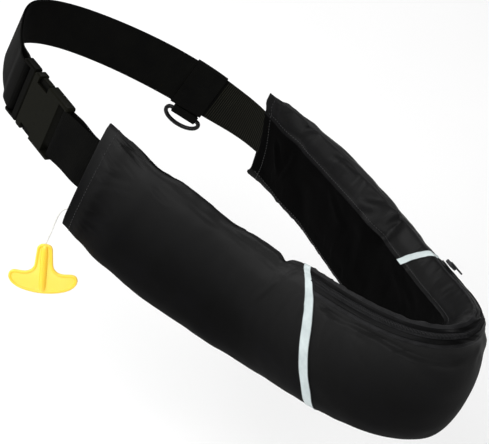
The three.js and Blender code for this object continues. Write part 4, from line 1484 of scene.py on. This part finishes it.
@dataclass
class Webbing:
    """The 50 mm straps, the keeper round the long one and the tab that holds the ring."""

    belt: BeltLine
    half: float
    width: float = 50 * MM
    thickness: float = 1.6 * MM
    short: float = 40 * MM
    back: float = 49 * MM
    gap: float = 0.6 * MM
    clearance: float = 0.3 * MM
    bar_spacing: float = 70 * MM
    bar: float = 5 * MM
    mouth: float = 30 * MM
    cloth: float = 2 * MM
    keeper_length: float = 34 * MM
    keeper_wall: float = 1.2 * MM
    keeper_row: float = 13.5 * MM
    tab_width: float = 26 * MM
    tab_drop: float = 6.2 * MM
    tab_shift: float = 3 * MM
    ring_wire: float = 4.2 * MM
    flare: float = 25 * MM

    def __post_init__(self) -> None:
        """Work out the layers, the bars' places and the buckle's frame."""
        self.pitch = self.thickness + self.gap
        self.wrap_radius = (self.bar + self.thickness) / 2 + self.clearance
        self.socket_bar = self.half + self.short
        self.plug_bar = self.socket_bar + self.bar_spacing
        self.inner_layer = self.cloth + self.clearance + self.thickness / 2
        self.keeper_middle = -self.half - self.back - self.keeper_length / 2
        bars = np.array([self.plug_bar, self.socket_bar])
        ends = self.belt.place(bars, np.full(2, -self.pitch / 2), np.zeros(2))
        ups = self.belt.frame(bars)[3]
        x = unit(ends[1] - ends[0])
        y = ups.sum(axis=0)
        y = unit(y - x * np.dot(y, x))
        self.buckle = np.eye(4)
        self.buckle[:3, 0], self.buckle[:3, 1], self.buckle[:3, 2] = x, y, np.cross(x, y)
        self.buckle[:3, 3] = ends.mean(axis=0) - x * self.bar_spacing / 2
        tab_middle = np.array(self.keeper_middle + self.tab_shift)
        along = self.belt.frame(tab_middle)[1]
        level = unit(np.cross([0.0, 0.0, 1.0], along))
        edge = self.width / 2 + self.clearance + self.keeper_wall
        self.ring = np.eye(4)
        self.ring[:3, 0], self.ring[:3, 1], self.ring[:3, 2] = along, level, np.cross(along, level)
        self.ring[:3, 3] = self.belt.place(
            tab_middle, -self.pitch / 2, -edge - self.clearance - self.tab_drop)

    def lie(self, distance: Array, outward: Array, turn: Array) -> tuple[Array, Array]:
        """Lay a strap's middle line: turn 1 puts it in the buckle's plane, turn 0 along the belt.

        Args:
            distance: along the belt.
            outward: off the belt line.
            turn: how far it follows the buckle.

        Returns:
            Points and the directions across the strap.
        """
        upright = self.belt.frame(distance)[3]
        across = upright + (self.buckle[:3, 1] - upright) * turn[:, None]
        return self.belt.place(distance, outward, np.zeros(len(distance))), unit(across)

    def wrap(self, bar_x: float, side: float) -> tuple[Array, Array]:
        """Turn the strap half round a bar of the buckle.

        Args:
            bar_x: the bar's place in the buckle's frame.
            side: which way it bulges.

        Returns:
            Points and the directions across the strap.
        """
        angle = np.radians(np.linspace(90, -90, 17))
        local = np.stack([bar_x + side * np.cos(angle) * self.wrap_radius, np.zeros(17),
                          np.sin(angle) * self.wrap_radius], -1)
        points = local @ self.buckle[:3, :3].T + self.buckle[:3, 3]
        return points, np.tile(self.buckle[:3, 1], (17, 1))

    def ribbon(self, runs: list[tuple[Array, Array]]) -> Patch:
        """Sweep the woven tape's outline along joined runs.

        Args:
            runs: points and directions across, run after run.

        Returns:
            The closed ribbon.
        """
        path, across = (np.concatenate(parts) for parts in zip(*runs))
        keep = np.append(True, np.linalg.norm(np.diff(path, axis=0), axis=1) > 1e-5)
        path, across = path[keep], across[keep]
        up = unit(np.cross(unit(np.gradient(path, axis=0)), across))
        return sweep(path, across, up, flat_profile(self.width, self.thickness))

    @property
    def bar_layers(self) -> tuple[float, float]:
        """How far off the belt line the outer and inner layers lie at a bar."""
        return self.wrap_radius - self.pitch / 2, -self.wrap_radius - self.pitch / 2

    def short_strap(self) -> Patch:
        """Run from inside the right mouth round the socket's bar and back.

        Returns:
            The closed strap.
        """
        floor = self.half - self.mouth + 2 * self.clearance
        stop = self.socket_bar - self.wrap_radius
        s = np.linspace(floor, stop, 36)
        turn = smoothstep(self.half, stop - self.flare / 3, s)
        outer_bar, inner_bar = self.bar_layers
        first = self.inner_layer + self.pitch
        outer = self.lie(s, first + (outer_bar - first) * turn, turn)
        lift = self.inner_layer + (inner_bar - self.inner_layer) * turn
        inner = self.lie(s[::-1], lift[::-1], turn[::-1])
        return self.ribbon([outer, self.wrap(self.bar_spacing, -1), inner])

    def long_strap(self) -> Patch:
        """Run from inside the left mouth through the keeper to the plug's bar; the tail lies
        back along the inside as far as the keeper.

        Returns:
            The closed strap.
        """
        floor = -self.half + self.mouth - 2 * self.clearance
        bar = self.plug_bar - self.belt.total
        stop = bar + self.wrap_radius
        s = np.linspace(floor, stop, 170)
        turn = 1 - smoothstep(stop + self.flare / 3, stop + self.flare, s)
        lift = self.inner_layer * smoothstep(-self.half - self.back, -self.half, s)
        outer_bar, inner_bar = self.bar_layers
        outer = self.lie(s, lift + outer_bar * turn, turn)
        back = np.linspace(stop, self.keeper_middle + self.keeper_length / 3, 120)
        turned = 1 - smoothstep(stop + self.flare / 3, stop + self.flare, back)
        tail = self.lie(back, -self.pitch + (inner_bar + self.pitch) * turned, turned)
        return self.ribbon([outer, self.wrap(0.0, 1), tail])

    def keeper_outline(self, grow: float) -> Array:
        """Give a rounded rectangle round both layers of the long strap: four quarter circles.

        Args:
            grow: how far outside the keeper's inner face.

        Returns:
            Outward and upright, (n, 2).
        """
        low = -self.pitch - self.thickness / 2 - self.clearance
        high = self.thickness / 2 + self.clearance
        edge = self.width / 2 + self.clearance
        corner = 0.9 * MM
        angle = np.radians(np.linspace(0, 90, 7))
        quarter = np.stack([np.cos(angle), np.sin(angle)], -1) * (corner + grow)
        quarters = []
        for turn, (x, y) in enumerate(((high, edge), (low, edge), (low, -edge), (high, -edge))):
            c, s = np.cos(np.radians(turn * 90)), np.sin(np.radians(turn * 90))
            middle = [x - np.sign(x - (low + high) / 2) * corner, y - np.sign(y) * corner]
            quarters.append(quarter @ np.array([[c, s], [-s, c]]) + middle)
        return np.concatenate(quarters)

    def keeper(self) -> Patch:
        """Wrap a tape round both layers: its outline, carried across the tape's width and back a
        wall's thickness further out.

        Returns:
            The closed loop.
        """
        across = flat_profile(self.keeper_length, self.keeper_wall, 12)
        points = []
        for x, y in across:
            outline = self.keeper_outline(self.keeper_wall / 2 + y)
            distance = np.full(len(outline), self.keeper_middle + x)
            points.append(self.belt.place(distance, outline[:, 0], outline[:, 1]))
        grid = np.stack(points, 1)
        along = run_length(np.vstack([grid[:, 0], grid[:1, 0]]))
        uv = grid_uv(along, np.append(across[:, 0], across[0, 0]))
        return Patch.grid(grid, uv, rows_close=True)

    def tab(self) -> Patch:
        """Fold the ring's tab round its bar: two short legs and half a turn.

        Returns:
            The closed tab.
        """
        radius = (self.ring_wire + self.thickness) / 2 + self.clearance
        angle = np.radians(np.linspace(0, -180, 17))
        leg = np.linspace(self.tab_drop, 0, 6)[:-1]
        y = np.concatenate([np.full(5, radius), np.cos(angle) * radius, np.full(5, -radius)])
        z = np.concatenate([leg, np.sin(angle) * radius, leg[::-1]])
        path = np.stack([np.zeros(len(y)), y, z], -1)
        across = np.tile([1.0, 0.0, 0.0], (len(path), 1))
        up = unit(np.cross(unit(np.gradient(path, axis=0)), across))
        profile = flat_profile(self.tab_width, self.thickness, 12)
        return sweep(path, across, up, profile).placed(self.ring)

    def sewn(self, distance: Array, upright: Array, outward: float, side: float) -> Patch:
        """Sew a row of stitches on a strap's face.

        Args:
            distance: the row's places along the belt.
            upright: its places across the strap.
            outward: the face's height off the belt line.
            side: 1 for the outer face, -1 for the inner.

        Returns:
            The stitches.
        """
        path = self.belt.place(distance, np.full(len(distance), outward), upright)
        run = run_length(path)
        at = np.arange(STITCH / 2, run[-1] - 1.0 * MM, STITCH)
        ends = []
        for reach in (at, at + 0.5 * MM):
            s, v = np.interp(reach, run, distance), np.interp(reach, run, upright)
            ends.append(self.belt.place(s, np.full(len(s), outward), v))
        off = self.belt.frame(np.interp(at, run, distance))[2] * side
        return stitch_row(ends[0], unit(ends[1] - ends[0] + 1e-9), off, STITCH * 0.75)


@dataclass
class DRing:
    """A D-ring bent from one round wire: a straight bar and a bow below it."""

    place: Array
    width: float = 36 * MM
    depth: float = 13 * MM
    wire: float = 4.2 * MM

    def mesh(self) -> Patch:
        """Sweep the wire: a bar, two tight corners and a half ellipse between them.

        Returns:
            The closed ring.
        """
        reach, corner = self.width / 2, self.wire * 0.9
        bar = np.stack([np.linspace(-reach + corner, reach - corner, 24), np.zeros(24)], -1)
        turn = np.radians(np.linspace(90, 0, 9))[1:-1]
        right = np.stack([reach - corner + np.cos(turn) * corner, (np.sin(turn) - 1) * corner], -1)
        sweep_angle = np.radians(np.linspace(0, 180, 48))
        bow = np.stack([np.cos(sweep_angle) * reach,
                        -corner - np.sin(sweep_angle) * (self.depth - corner)], -1)
        left = right[::-1] * [-1, 1]
        flat = np.vstack([bar, right, bow, left])
        path = np.stack([flat[:, 0], np.zeros(len(flat)), flat[:, 1]], -1)
        ahead = unit(np.roll(path, -1, axis=0) - np.roll(path, 1, axis=0))
        across = np.tile([0.0, 1.0, 0.0], (len(path), 1))
        profile = round_profile(self.wire / 2, 20)
        ring = sweep(path, across, np.cross(ahead, across), profile, closed=True)
        return ring.placed(self.place)


# ------------------------------------------------------------------ pull cord and handle

@dataclass
class PullCord:
    """The thin cord from inside the right mouth to the handle's stem."""

    diameter: float = 1.8 * MM
    lay: float = 5 * MM
    route: tuple[tuple[float, float, float], ...] = (
        (-0.1382, 0.0530, -0.0282), (-0.1392, 0.0610, -0.0264), (-0.1402, 0.0690, -0.0247),
        (-0.1410, 0.0756, -0.0234), (-0.1419, 0.0806, -0.0238), (-0.1433, 0.0842, -0.0272),
        (-0.1444, 0.0862, -0.0332), (-0.1449, 0.0872, -0.0406), (-0.1450, 0.0882, -0.0490),
        (-0.1452, 0.0894, -0.0580), (-0.1456, 0.0910, -0.0673))

    def path(self) -> Array:
        """Give the cord's middle line."""
        return open_spline(np.array(self.route), 90)

    def mesh(self) -> Patch:
        """Sweep a braided outline: a circle swelling where two sets of strands cross.

        Returns:
            The closed cord.
        """
        path = self.path()
        ahead = unit(np.gradient(path, axis=0))
        across = unit(np.cross(ahead, [1.0, 0.0, 0.0]))
        up = np.cross(across, ahead)
        sides = 16
        angle = np.arange(sides) / sides * 2 * np.pi
        run = run_length(path)
        turn = run[:, None] / self.lay * 2 * np.pi
        strands = sum(np.abs(np.sin(2 * angle + way * turn)) for way in (1, -1))
        radius = self.diameter / 2 * (0.90 + 0.05 * strands)
        points = (path[:, None] + across[:, None] * (np.cos(angle) * radius)[..., None]
                  + up[:, None] * (np.sin(angle) * radius)[..., None])
        middle = points.mean(axis=1, keepdims=True)
        rows = np.concatenate([np.broadcast_to(middle[:1], points[:1].shape), points,
                               np.broadcast_to(middle[-1:], points[:1].shape)])
        along = np.concatenate([[0.0], run, run[-1:]])
        edge = np.arange(sides + 1) / sides * np.pi * self.diameter
        return Patch.grid(rows, grid_uv(along, edge))


@dataclass
class PullHandle:
    """The moulded T handle: a plate with short curved wings, a raised border and a round rib. Its
    border's rows are millimetres in from the outline and shares of the plate's half thickness."""

    top: tuple[float, float, float]
    down: tuple[float, float, float] = (-0.17, -0.30, -0.94)
    across: tuple[float, float, float] = (0.52, -0.84, 0.17)
    width: float = 62 * MM
    height: float = 46 * MM
    plate: float = 3.4 * MM
    rib: float = 7 * MM
    clearance: float = 0.3 * MM
    border: tuple[tuple[float, float], ...] = (
        (2.9, 0.62), (2.5, 0.66), (2.1, 0.88), (1.6, 1.0), (0.9, 1.0), (0.35, 0.86), (0.06, 0.55),
        (0.0, 0.0))
    corners: tuple[tuple[float, float, float, float], ...] = (
        (0.00, 0.00, 0.22, 0.00), (0.23, 0.12, 0.25, 0.27), (0.27, 0.42, 0.32, 0.58),
        (0.60, 0.58, 0.70, 0.575), (0.80, 0.57, 1.00, 0.57), (1.00, 0.70, 0.98, 0.84),
        (0.66, 0.93, 0.34, 1.00), (0.00, 1.00, 0.00, 1.00))

    def frame(self) -> Array:
        """Work out where the handle hangs: X across, Y down, Z towards the front.

        Returns:
            The placing matrix, 4 by 4.
        """
        y = unit(np.array(self.down))
        x = np.array(self.across)
        x = unit(x - y * np.dot(x, y))
        made = np.eye(4)
        made[:3, 0], made[:3, 1], made[:3, 2] = x, y, np.cross(x, y)
        made[:3, 3] = np.array(self.top) + y * self.clearance
        return made

    def outline(self) -> Array:
        """Give the plate's outline: quadratic curves through the corners, mirrored, evenly
        spaced.

        Returns:
            Points anticlockwise, (n, 2).
        """
        rows = np.array(self.corners)
        t = np.linspace(0, 1, 24, endpoint=False)[None, :, None]
        a, b, c = rows[:-1, None, :2], rows[:-1, None, 2:], rows[1:, None, :2]
        half = ((1 - t) ** 2 * a + 2 * t * (1 - t) * b + t * t * c).reshape(-1, 2)
        half = half * [self.width / 2, self.height]
        full = np.vstack([half, [[0.0, self.height]], (half * [-1, 1])[:0:-1]])
        closed = np.vstack([full, full[:1]])
        run = run_length(closed)
        even = np.linspace(0, run[-1], 221)[:-1]
        return np.stack([np.interp(even, run, closed[:, k]) for k in (0, 1)], -1)

    def mesh(self) -> tuple[Patch, list[list[int]]]:
        """Build the plate from insets of its outline at the border's heights, closed by a flat
        face each side, and lay the rib through it.

        Returns:
            The patch and the two flat faces.
        """
        outline = self.outline()
        ahead = np.roll(outline, -2, axis=0) - np.roll(outline, 2, axis=0)
        inward = unit(np.stack([-ahead[:, 1], ahead[:, 0]], -1))
        steps = np.vstack([self.border, np.array(self.border)[-2::-1] * [1, -1]])
        count = len(outline)
        level = np.broadcast_to(steps[:, 1, None, None] * self.plate / 2, (len(steps), count, 1))
        inset = outline + inward * steps[:, 0, None, None] * MM
        plate = Patch.grid(np.concatenate([inset, level], -1))
        last = (len(steps) - 1) * count
        caps = [list(range(count)), list(range(last, last + count))[::-1]]
        rise = np.linspace(0, 1, 40)[:, None]
        ring = round_profile(self.rib / 2, 24) * np.sqrt(
            np.maximum(0, 1 - (2 * rise - 1) ** 8))[..., None]
        drop = np.broadcast_to(0.3 * MM + rise * (self.height - 0.9 * MM), ring.shape[:2])
        rod = np.stack([ring[..., 0], drop, ring[..., 1]], -1)
        joined = Patch.joined([plate, Patch.grid(rod)])
        return joined.placed(self.frame()), caps


# ------------------------------------------------------------------ buckle

ROUNDED = np.radians(28)  # edges that turn more than this get the moulding's radius
MOULDED = np.radians(45)  # edges that turn more than this stay sharp in the shading


def moulded_copy(name: str, source: str, material: bpy.types.Material,
                 radius: float) -> None:
    """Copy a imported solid, weld it, and give its edges the radius of a moulding.

    Args:
        name: the new piece.
        source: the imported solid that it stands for.
        material: its finish.
        radius: of its edges.
    """
    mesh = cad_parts[source].data.copy()
    mesh.name = name
    work = bmesh.new()
    work.from_mesh(mesh)
    bmesh.ops.remove_doubles(work, verts=work.verts, dist=CAD_WELD)
    bmesh.ops.dissolve_limit(work, angle_limit=FLAT, verts=work.verts, edges=work.edges)
    work.to_mesh(mesh)
    work.free()
    mesh.materials.clear()
    mesh.materials.append(material)
    piece = bpy.data.objects.new(name, mesh)
    bpy.context.scene.collection.objects.link(piece)
    soft = piece.modifiers.new("moulded_edges", "BEVEL")
    soft.width = radius
    soft.segments = 3
    soft.limit_method = "ANGLE"
    soft.angle_limit = ROUNDED
    mesh.polygons.foreach_set("use_smooth", np.ones(len(mesh.polygons), bool))
    mesh.set_sharp_from_angle(angle=MOULDED)
    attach(piece, Body.BELT.value)
    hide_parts(source)
    LOG.info("%s: moulded from %s", name, source)


# ------------------------------------------------------------------ studio

@dataclass(frozen=True)
class SoftBox:
    """One soft box: where it hangs, its width and height, its watts, and what it looks at."""

    name: str
    place: tuple[float, float, float]
    size: tuple[float, float]
    power: float
    target: tuple[float, float, float] = (0.0, 0.0, 0.0)

    def hang(self) -> None:
        """Put the lamp into the scene, unseen by the camera."""
        data = bpy.data.lights.new(self.name, "AREA")
        data.shape = "RECTANGLE"
        data.size, data.size_y = self.size
        data.energy = self.power
        lamp = bpy.data.objects.new(self.name, data)
        bpy.context.scene.collection.objects.link(lamp)
        lamp.location = self.place
        aim = Vector(self.target) - Vector(self.place)
        lamp.rotation_euler = aim.to_track_quat("-Z", "Y").to_euler()
        lamp.visible_camera = False


@dataclass(frozen=True)
class Studio:
    """The camera at the photograph's angle, a pale floor and soft lights."""

    azimuth: float = -64.88
    elevation: float = 33.24
    roll: float = 17.75
    distance: float = 1.9009
    target: tuple[float, float, float] = (-0.0156, -0.0268, -0.0257)
    focal_px: float = 2111.0
    image_width: int = 489
    sensor: float = 36.0
    floor_size: float = 14.0
    floor_drop: float = 0.3
    room_light: float = 0.2
    boxes: tuple[SoftBox, ...] = (
        SoftBox("backdrop_lamp", (1.9, 0.9, 2.6), (2.0, 2.0), 58, (0.9, 0.4, -0.4)),
        SoftBox("far_softbox", (-0.48, 2.70, 0.95), (1.7, 0.8), 30),
        SoftBox("right_softbox", (-2.20, 1.35, 1.35), (1.7, 1.1), 44),
        SoftBox("near_softbox", (-1.95, -0.80, 2.00), (2.2, 1.0), 50),
        SoftBox("front_softbox", (-0.60, -2.55, 1.30), (1.2, 0.7), 8))

    def camera(self) -> None:
        """Place the camera and make it the scene's."""
        a, e, r = (np.radians(v) for v in (self.azimuth, self.elevation, self.roll))
        back = np.array([np.sin(a) * np.cos(e), -np.cos(a) * np.cos(e), np.sin(e)])
        right = np.array([np.cos(a), np.sin(a), 0.0])
        up = np.cross(back, right)
        axes = np.eye(4)
        axes[:3, 0] = right * np.cos(r) + up * np.sin(r)
        axes[:3, 1] = up * np.cos(r) - right * np.sin(r)
        axes[:3, 2] = back
        axes[:3, 3] = np.array(self.target) + back * self.distance
        data = bpy.data.cameras.new("camera")
        data.sensor_width = self.sensor
        data.lens = self.focal_px * self.sensor / self.image_width
        data.clip_end = 50
        camera = bpy.data.objects.new("camera", data)
        bpy.context.scene.collection.objects.link(camera)
        camera.matrix_world = Matrix(axes.tolist())
        bpy.context.scene.camera = camera

    def floor(self) -> None:
        """Lay the pale floor, matt and faintly uneven."""
        size = self.floor_size
        low = CAD_BOX[0][2] - self.floor_drop
        corners = [(x * size, y * size, low) for x, y in ((-1, -1), (1, -1), (1, 1), (-1, 1))]
        mesh = bpy.data.meshes.new("floor")
        mesh.from_pydata(corners, [], [(0, 1, 2, 3)])
        floor = bpy.data.objects.new("floor", mesh)
        bpy.context.scene.collection.objects.link(floor)
        mesh.materials.append(FloorPaint().material())
        floor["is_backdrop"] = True

    def build(self) -> None:
        """Lay the floor, light the room and set the camera."""
        self.floor()
        world = bpy.data.worlds.new("room")
        world.use_nodes = True
        sky = world.node_tree.nodes["Background"]
        sky.inputs["Color"].default_value = linear("FFFFFF")
        sky.inputs["Strength"].default_value = self.room_light
        bpy.context.scene.world = world
        bpy.context.scene.view_settings.view_transform = "Standard"
        for box in self.boxes:
            box.hang()
        self.camera()


# ------------------------------------------------------------------ the belt pack

def made_of(kind: type[Finish], **values: str | float) -> bpy.types.Material:
    """Give a field whose material is made from a finish, changed by some values."""
    return field(default_factory=lambda: kind(**values).material())


@dataclass
class Finishes:
    """One material for each real one, and a darker, less glossy copy of the nylon that paints shade
    on the inner panel.
    """

    nylon: bpy.types.Material = made_of(CoatedNylon)
    # painted shade: a copy of the nylon, darker and less glossy, for the inner panel that lies in
    # shade
    shaded_inner_nylon: bpy.types.Material = made_of(
        CoatedNylon, name="inner_panel_nylon_painted_shade", colour="030303", patch="060606", roughness=0.5,
        specular=0.012)
    webbing: bpy.types.Material = made_of(RibbedWebbing)
    pressed: bpy.types.Material = made_of(
        RibbedWebbing, name="pressed_nylon_webbing", ribbing=0.25)
    tape: bpy.types.Material = made_of(ZipperTape)
    reflective: bpy.types.Material = made_of(ReflectiveTape)
    acetal: bpy.types.Material = made_of(MouldedPlastic)
    coil: bpy.types.Material = made_of(
        MouldedPlastic, name="nylon_coil", colour="101011", edge="1C1C1D", roughness=0.5,
        specular=0.15)
    slider: bpy.types.Material = made_of(
        MouldedPlastic, name="painted_zinc", colour="161617", edge="4A4A4C", roughness=0.35)
    yellow: bpy.types.Material = made_of(
        MouldedPlastic, name="yellow_polypropylene", colour="FFC91F", edge="FFE36A",
        roughness=0.36, specular=0.45, glow=0.15)
    steel: bpy.types.Material = made_of(CoatedSteel)
    cord: bpy.types.Material = made_of(BraidedCord)
    thread: bpy.types.Material = made_of(SewingThread)


def dress_cord(finishes: Finishes) -> None:
    """Args:
        finishes: the materials.
    """
    cord = PullCord()
    handle = PullHandle(top=cord.route[-1])
    patch, caps = handle.mesh()
    grip = make("pull_handle_moulding", patch, finishes.yellow, Body.BELT,
                ("pull_handle",), caps)
    line = make("pull_cord_braid", cord.mesh(), finishes.cord, Body.BELT,
                ("pull_cord",))


def dress_pouch(pouch: Pouch, finishes: Finishes) -> None:
    """Make the pouch's skin, strips, zipper and stitching.

    Args:
        pouch: the pouch.
        finishes: the materials.
    """
    pouch.settle()
    skin = make("pouch_cloth", pouch.skin(), finishes.nylon, Body.BELT, ("pouch",))
    panel = np.array([pouch.panel_seam, pouch.sides]) / pouch.sides * pouch.girth
    # the inner panel gets the darker copy of the nylon, painted shade
    refinish(skin, finishes.shaded_inner_nylon, 1, *panel)
    for side, rows in (("right", pouch.right_strip), ("left", pouch.left_strip)):
        make(f"reflective_tape_{side}", pouch.strip(rows), finishes.reflective, Body.BELT,
             (f"reflective_strip_{side}",))
    tape = pouch.band(pouch.zipper, pouch.zipper_width, *pouch.tape_rise)
    make("zipper_tape_halves", tape, finishes.tape, Body.BELT, ("zipper_tape",))
    make("zipper_coils", pouch.coil(), finishes.coil, Body.BELT, ("zipper_teeth",))
    welts = [pouch.band(place, pouch.welt_width, *pouch.welt_rise) for place in pouch.welts]
    make("zipper_welts", Patch.joined(welts), finishes.nylon, Body.BELT)
    make("pouch_stitching", Patch.joined(sewing(pouch)), finishes.thread, Body.BELT)


def sewing(pouch: Pouch) -> list[Patch]:
    """Sew every row on the pouch: zipper, hems, both edges of each strip, and the long seams.

    Args:
        pouch: the pouch.

    Returns:
        The rows of stitches.
    """
    rows = [pouch.stitches(*pouch.band_run(place, 500)) for place in pouch.zipper_rows]
    around = np.linspace(0, pouch.sides, 300)
    rows += [pouch.stitches(np.full(300, end * (pouch.half - pouch.hem_row)), around)
             for end in (-1, 1)]
    down = np.linspace(0.3, pouch.bottom_edge, 300)
    rows += [pouch.stitches(pouch.strip_line(strip, down) + offset, down)
             for offset in (-pouch.strip_row, pouch.strip_row)
             for strip in (pouch.right_strip, pouch.left_strip)]
    seam = np.linspace(-pouch.half + 4 * MM, pouch.half - 4 * MM, 900)
    rows += [pouch.stitches(seam, np.full(900, place))
             for place in (pouch.top_seam, pouch.panel_seam)]
    return rows


def dress_webbing(webbing: Webbing, finishes: Finishes) -> None:
    """Make the straps, the keeper, the tab and the keeper's stitching. The webbing shows its ribs
    only where it runs single between the left mouth and the keeper; elsewhere it is pressed smooth.

    Args:
        webbing: the straps' sizes.
        finishes: the materials.
    """
    for name, patch, node_name in (
            ("short_webbing", webbing.short_strap(), "strap_short"),
            ("long_webbing", webbing.long_strap(), "strap_long"),
            ("keeper_webbing", webbing.keeper(), "keeper"),
            ("ring_tab_webbing", webbing.tab(), "ring_tab")):
        piece = make(name, patch, finishes.pressed, Body.BELT, (node_name,))
        if name == "long_webbing":
            refinish(piece, finishes.webbing, 0, 0, webbing.mouth + webbing.back)
    across = np.linspace(-22, 22, 60) * MM
    face = webbing.thickness / 2 + webbing.clearance + webbing.keeper_wall
    rows = [webbing.sewn(np.full(60, webbing.keeper_middle + off), across, face, 1)
            for off in (-webbing.keeper_row, webbing.keeper_row)]
    make("keeper_stitching", Patch.joined(rows), finishes.thread, Body.BELT)


def main() -> None:
    """Build the belt pack and the studio, piece by piece."""
    logging.basicConfig(level=logging.INFO)
    Studio().build()
    finishes = Finishes()
    dress_cord(finishes)
    belt = BeltLine()
    pouch = Pouch(belt)
    dress_pouch(pouch, finishes)
    webbing = Webbing(belt, pouch.half)
    dress_webbing(webbing, finishes)
    make("d_ring_wire", DRing(webbing.ring).mesh(), finishes.steel, Body.RING,
         ("d_ring",))
    for source, kind, finish, slot, radius in (
            ("buckle_plug", "moulding", finishes.acetal, "buckle_plastic", 0.8 * MM),
            ("buckle_socket", "moulding", finishes.acetal, "buckle_plastic", 0.8 * MM),
            ("zipper_slider", "casting", finishes.slider, "slider_metal", 0.4 * MM)):
        moulded_copy(f"{source}_{kind}", source, finish, radius)
    LOG.info("size written")


if __name__ == "__main__":
    main()
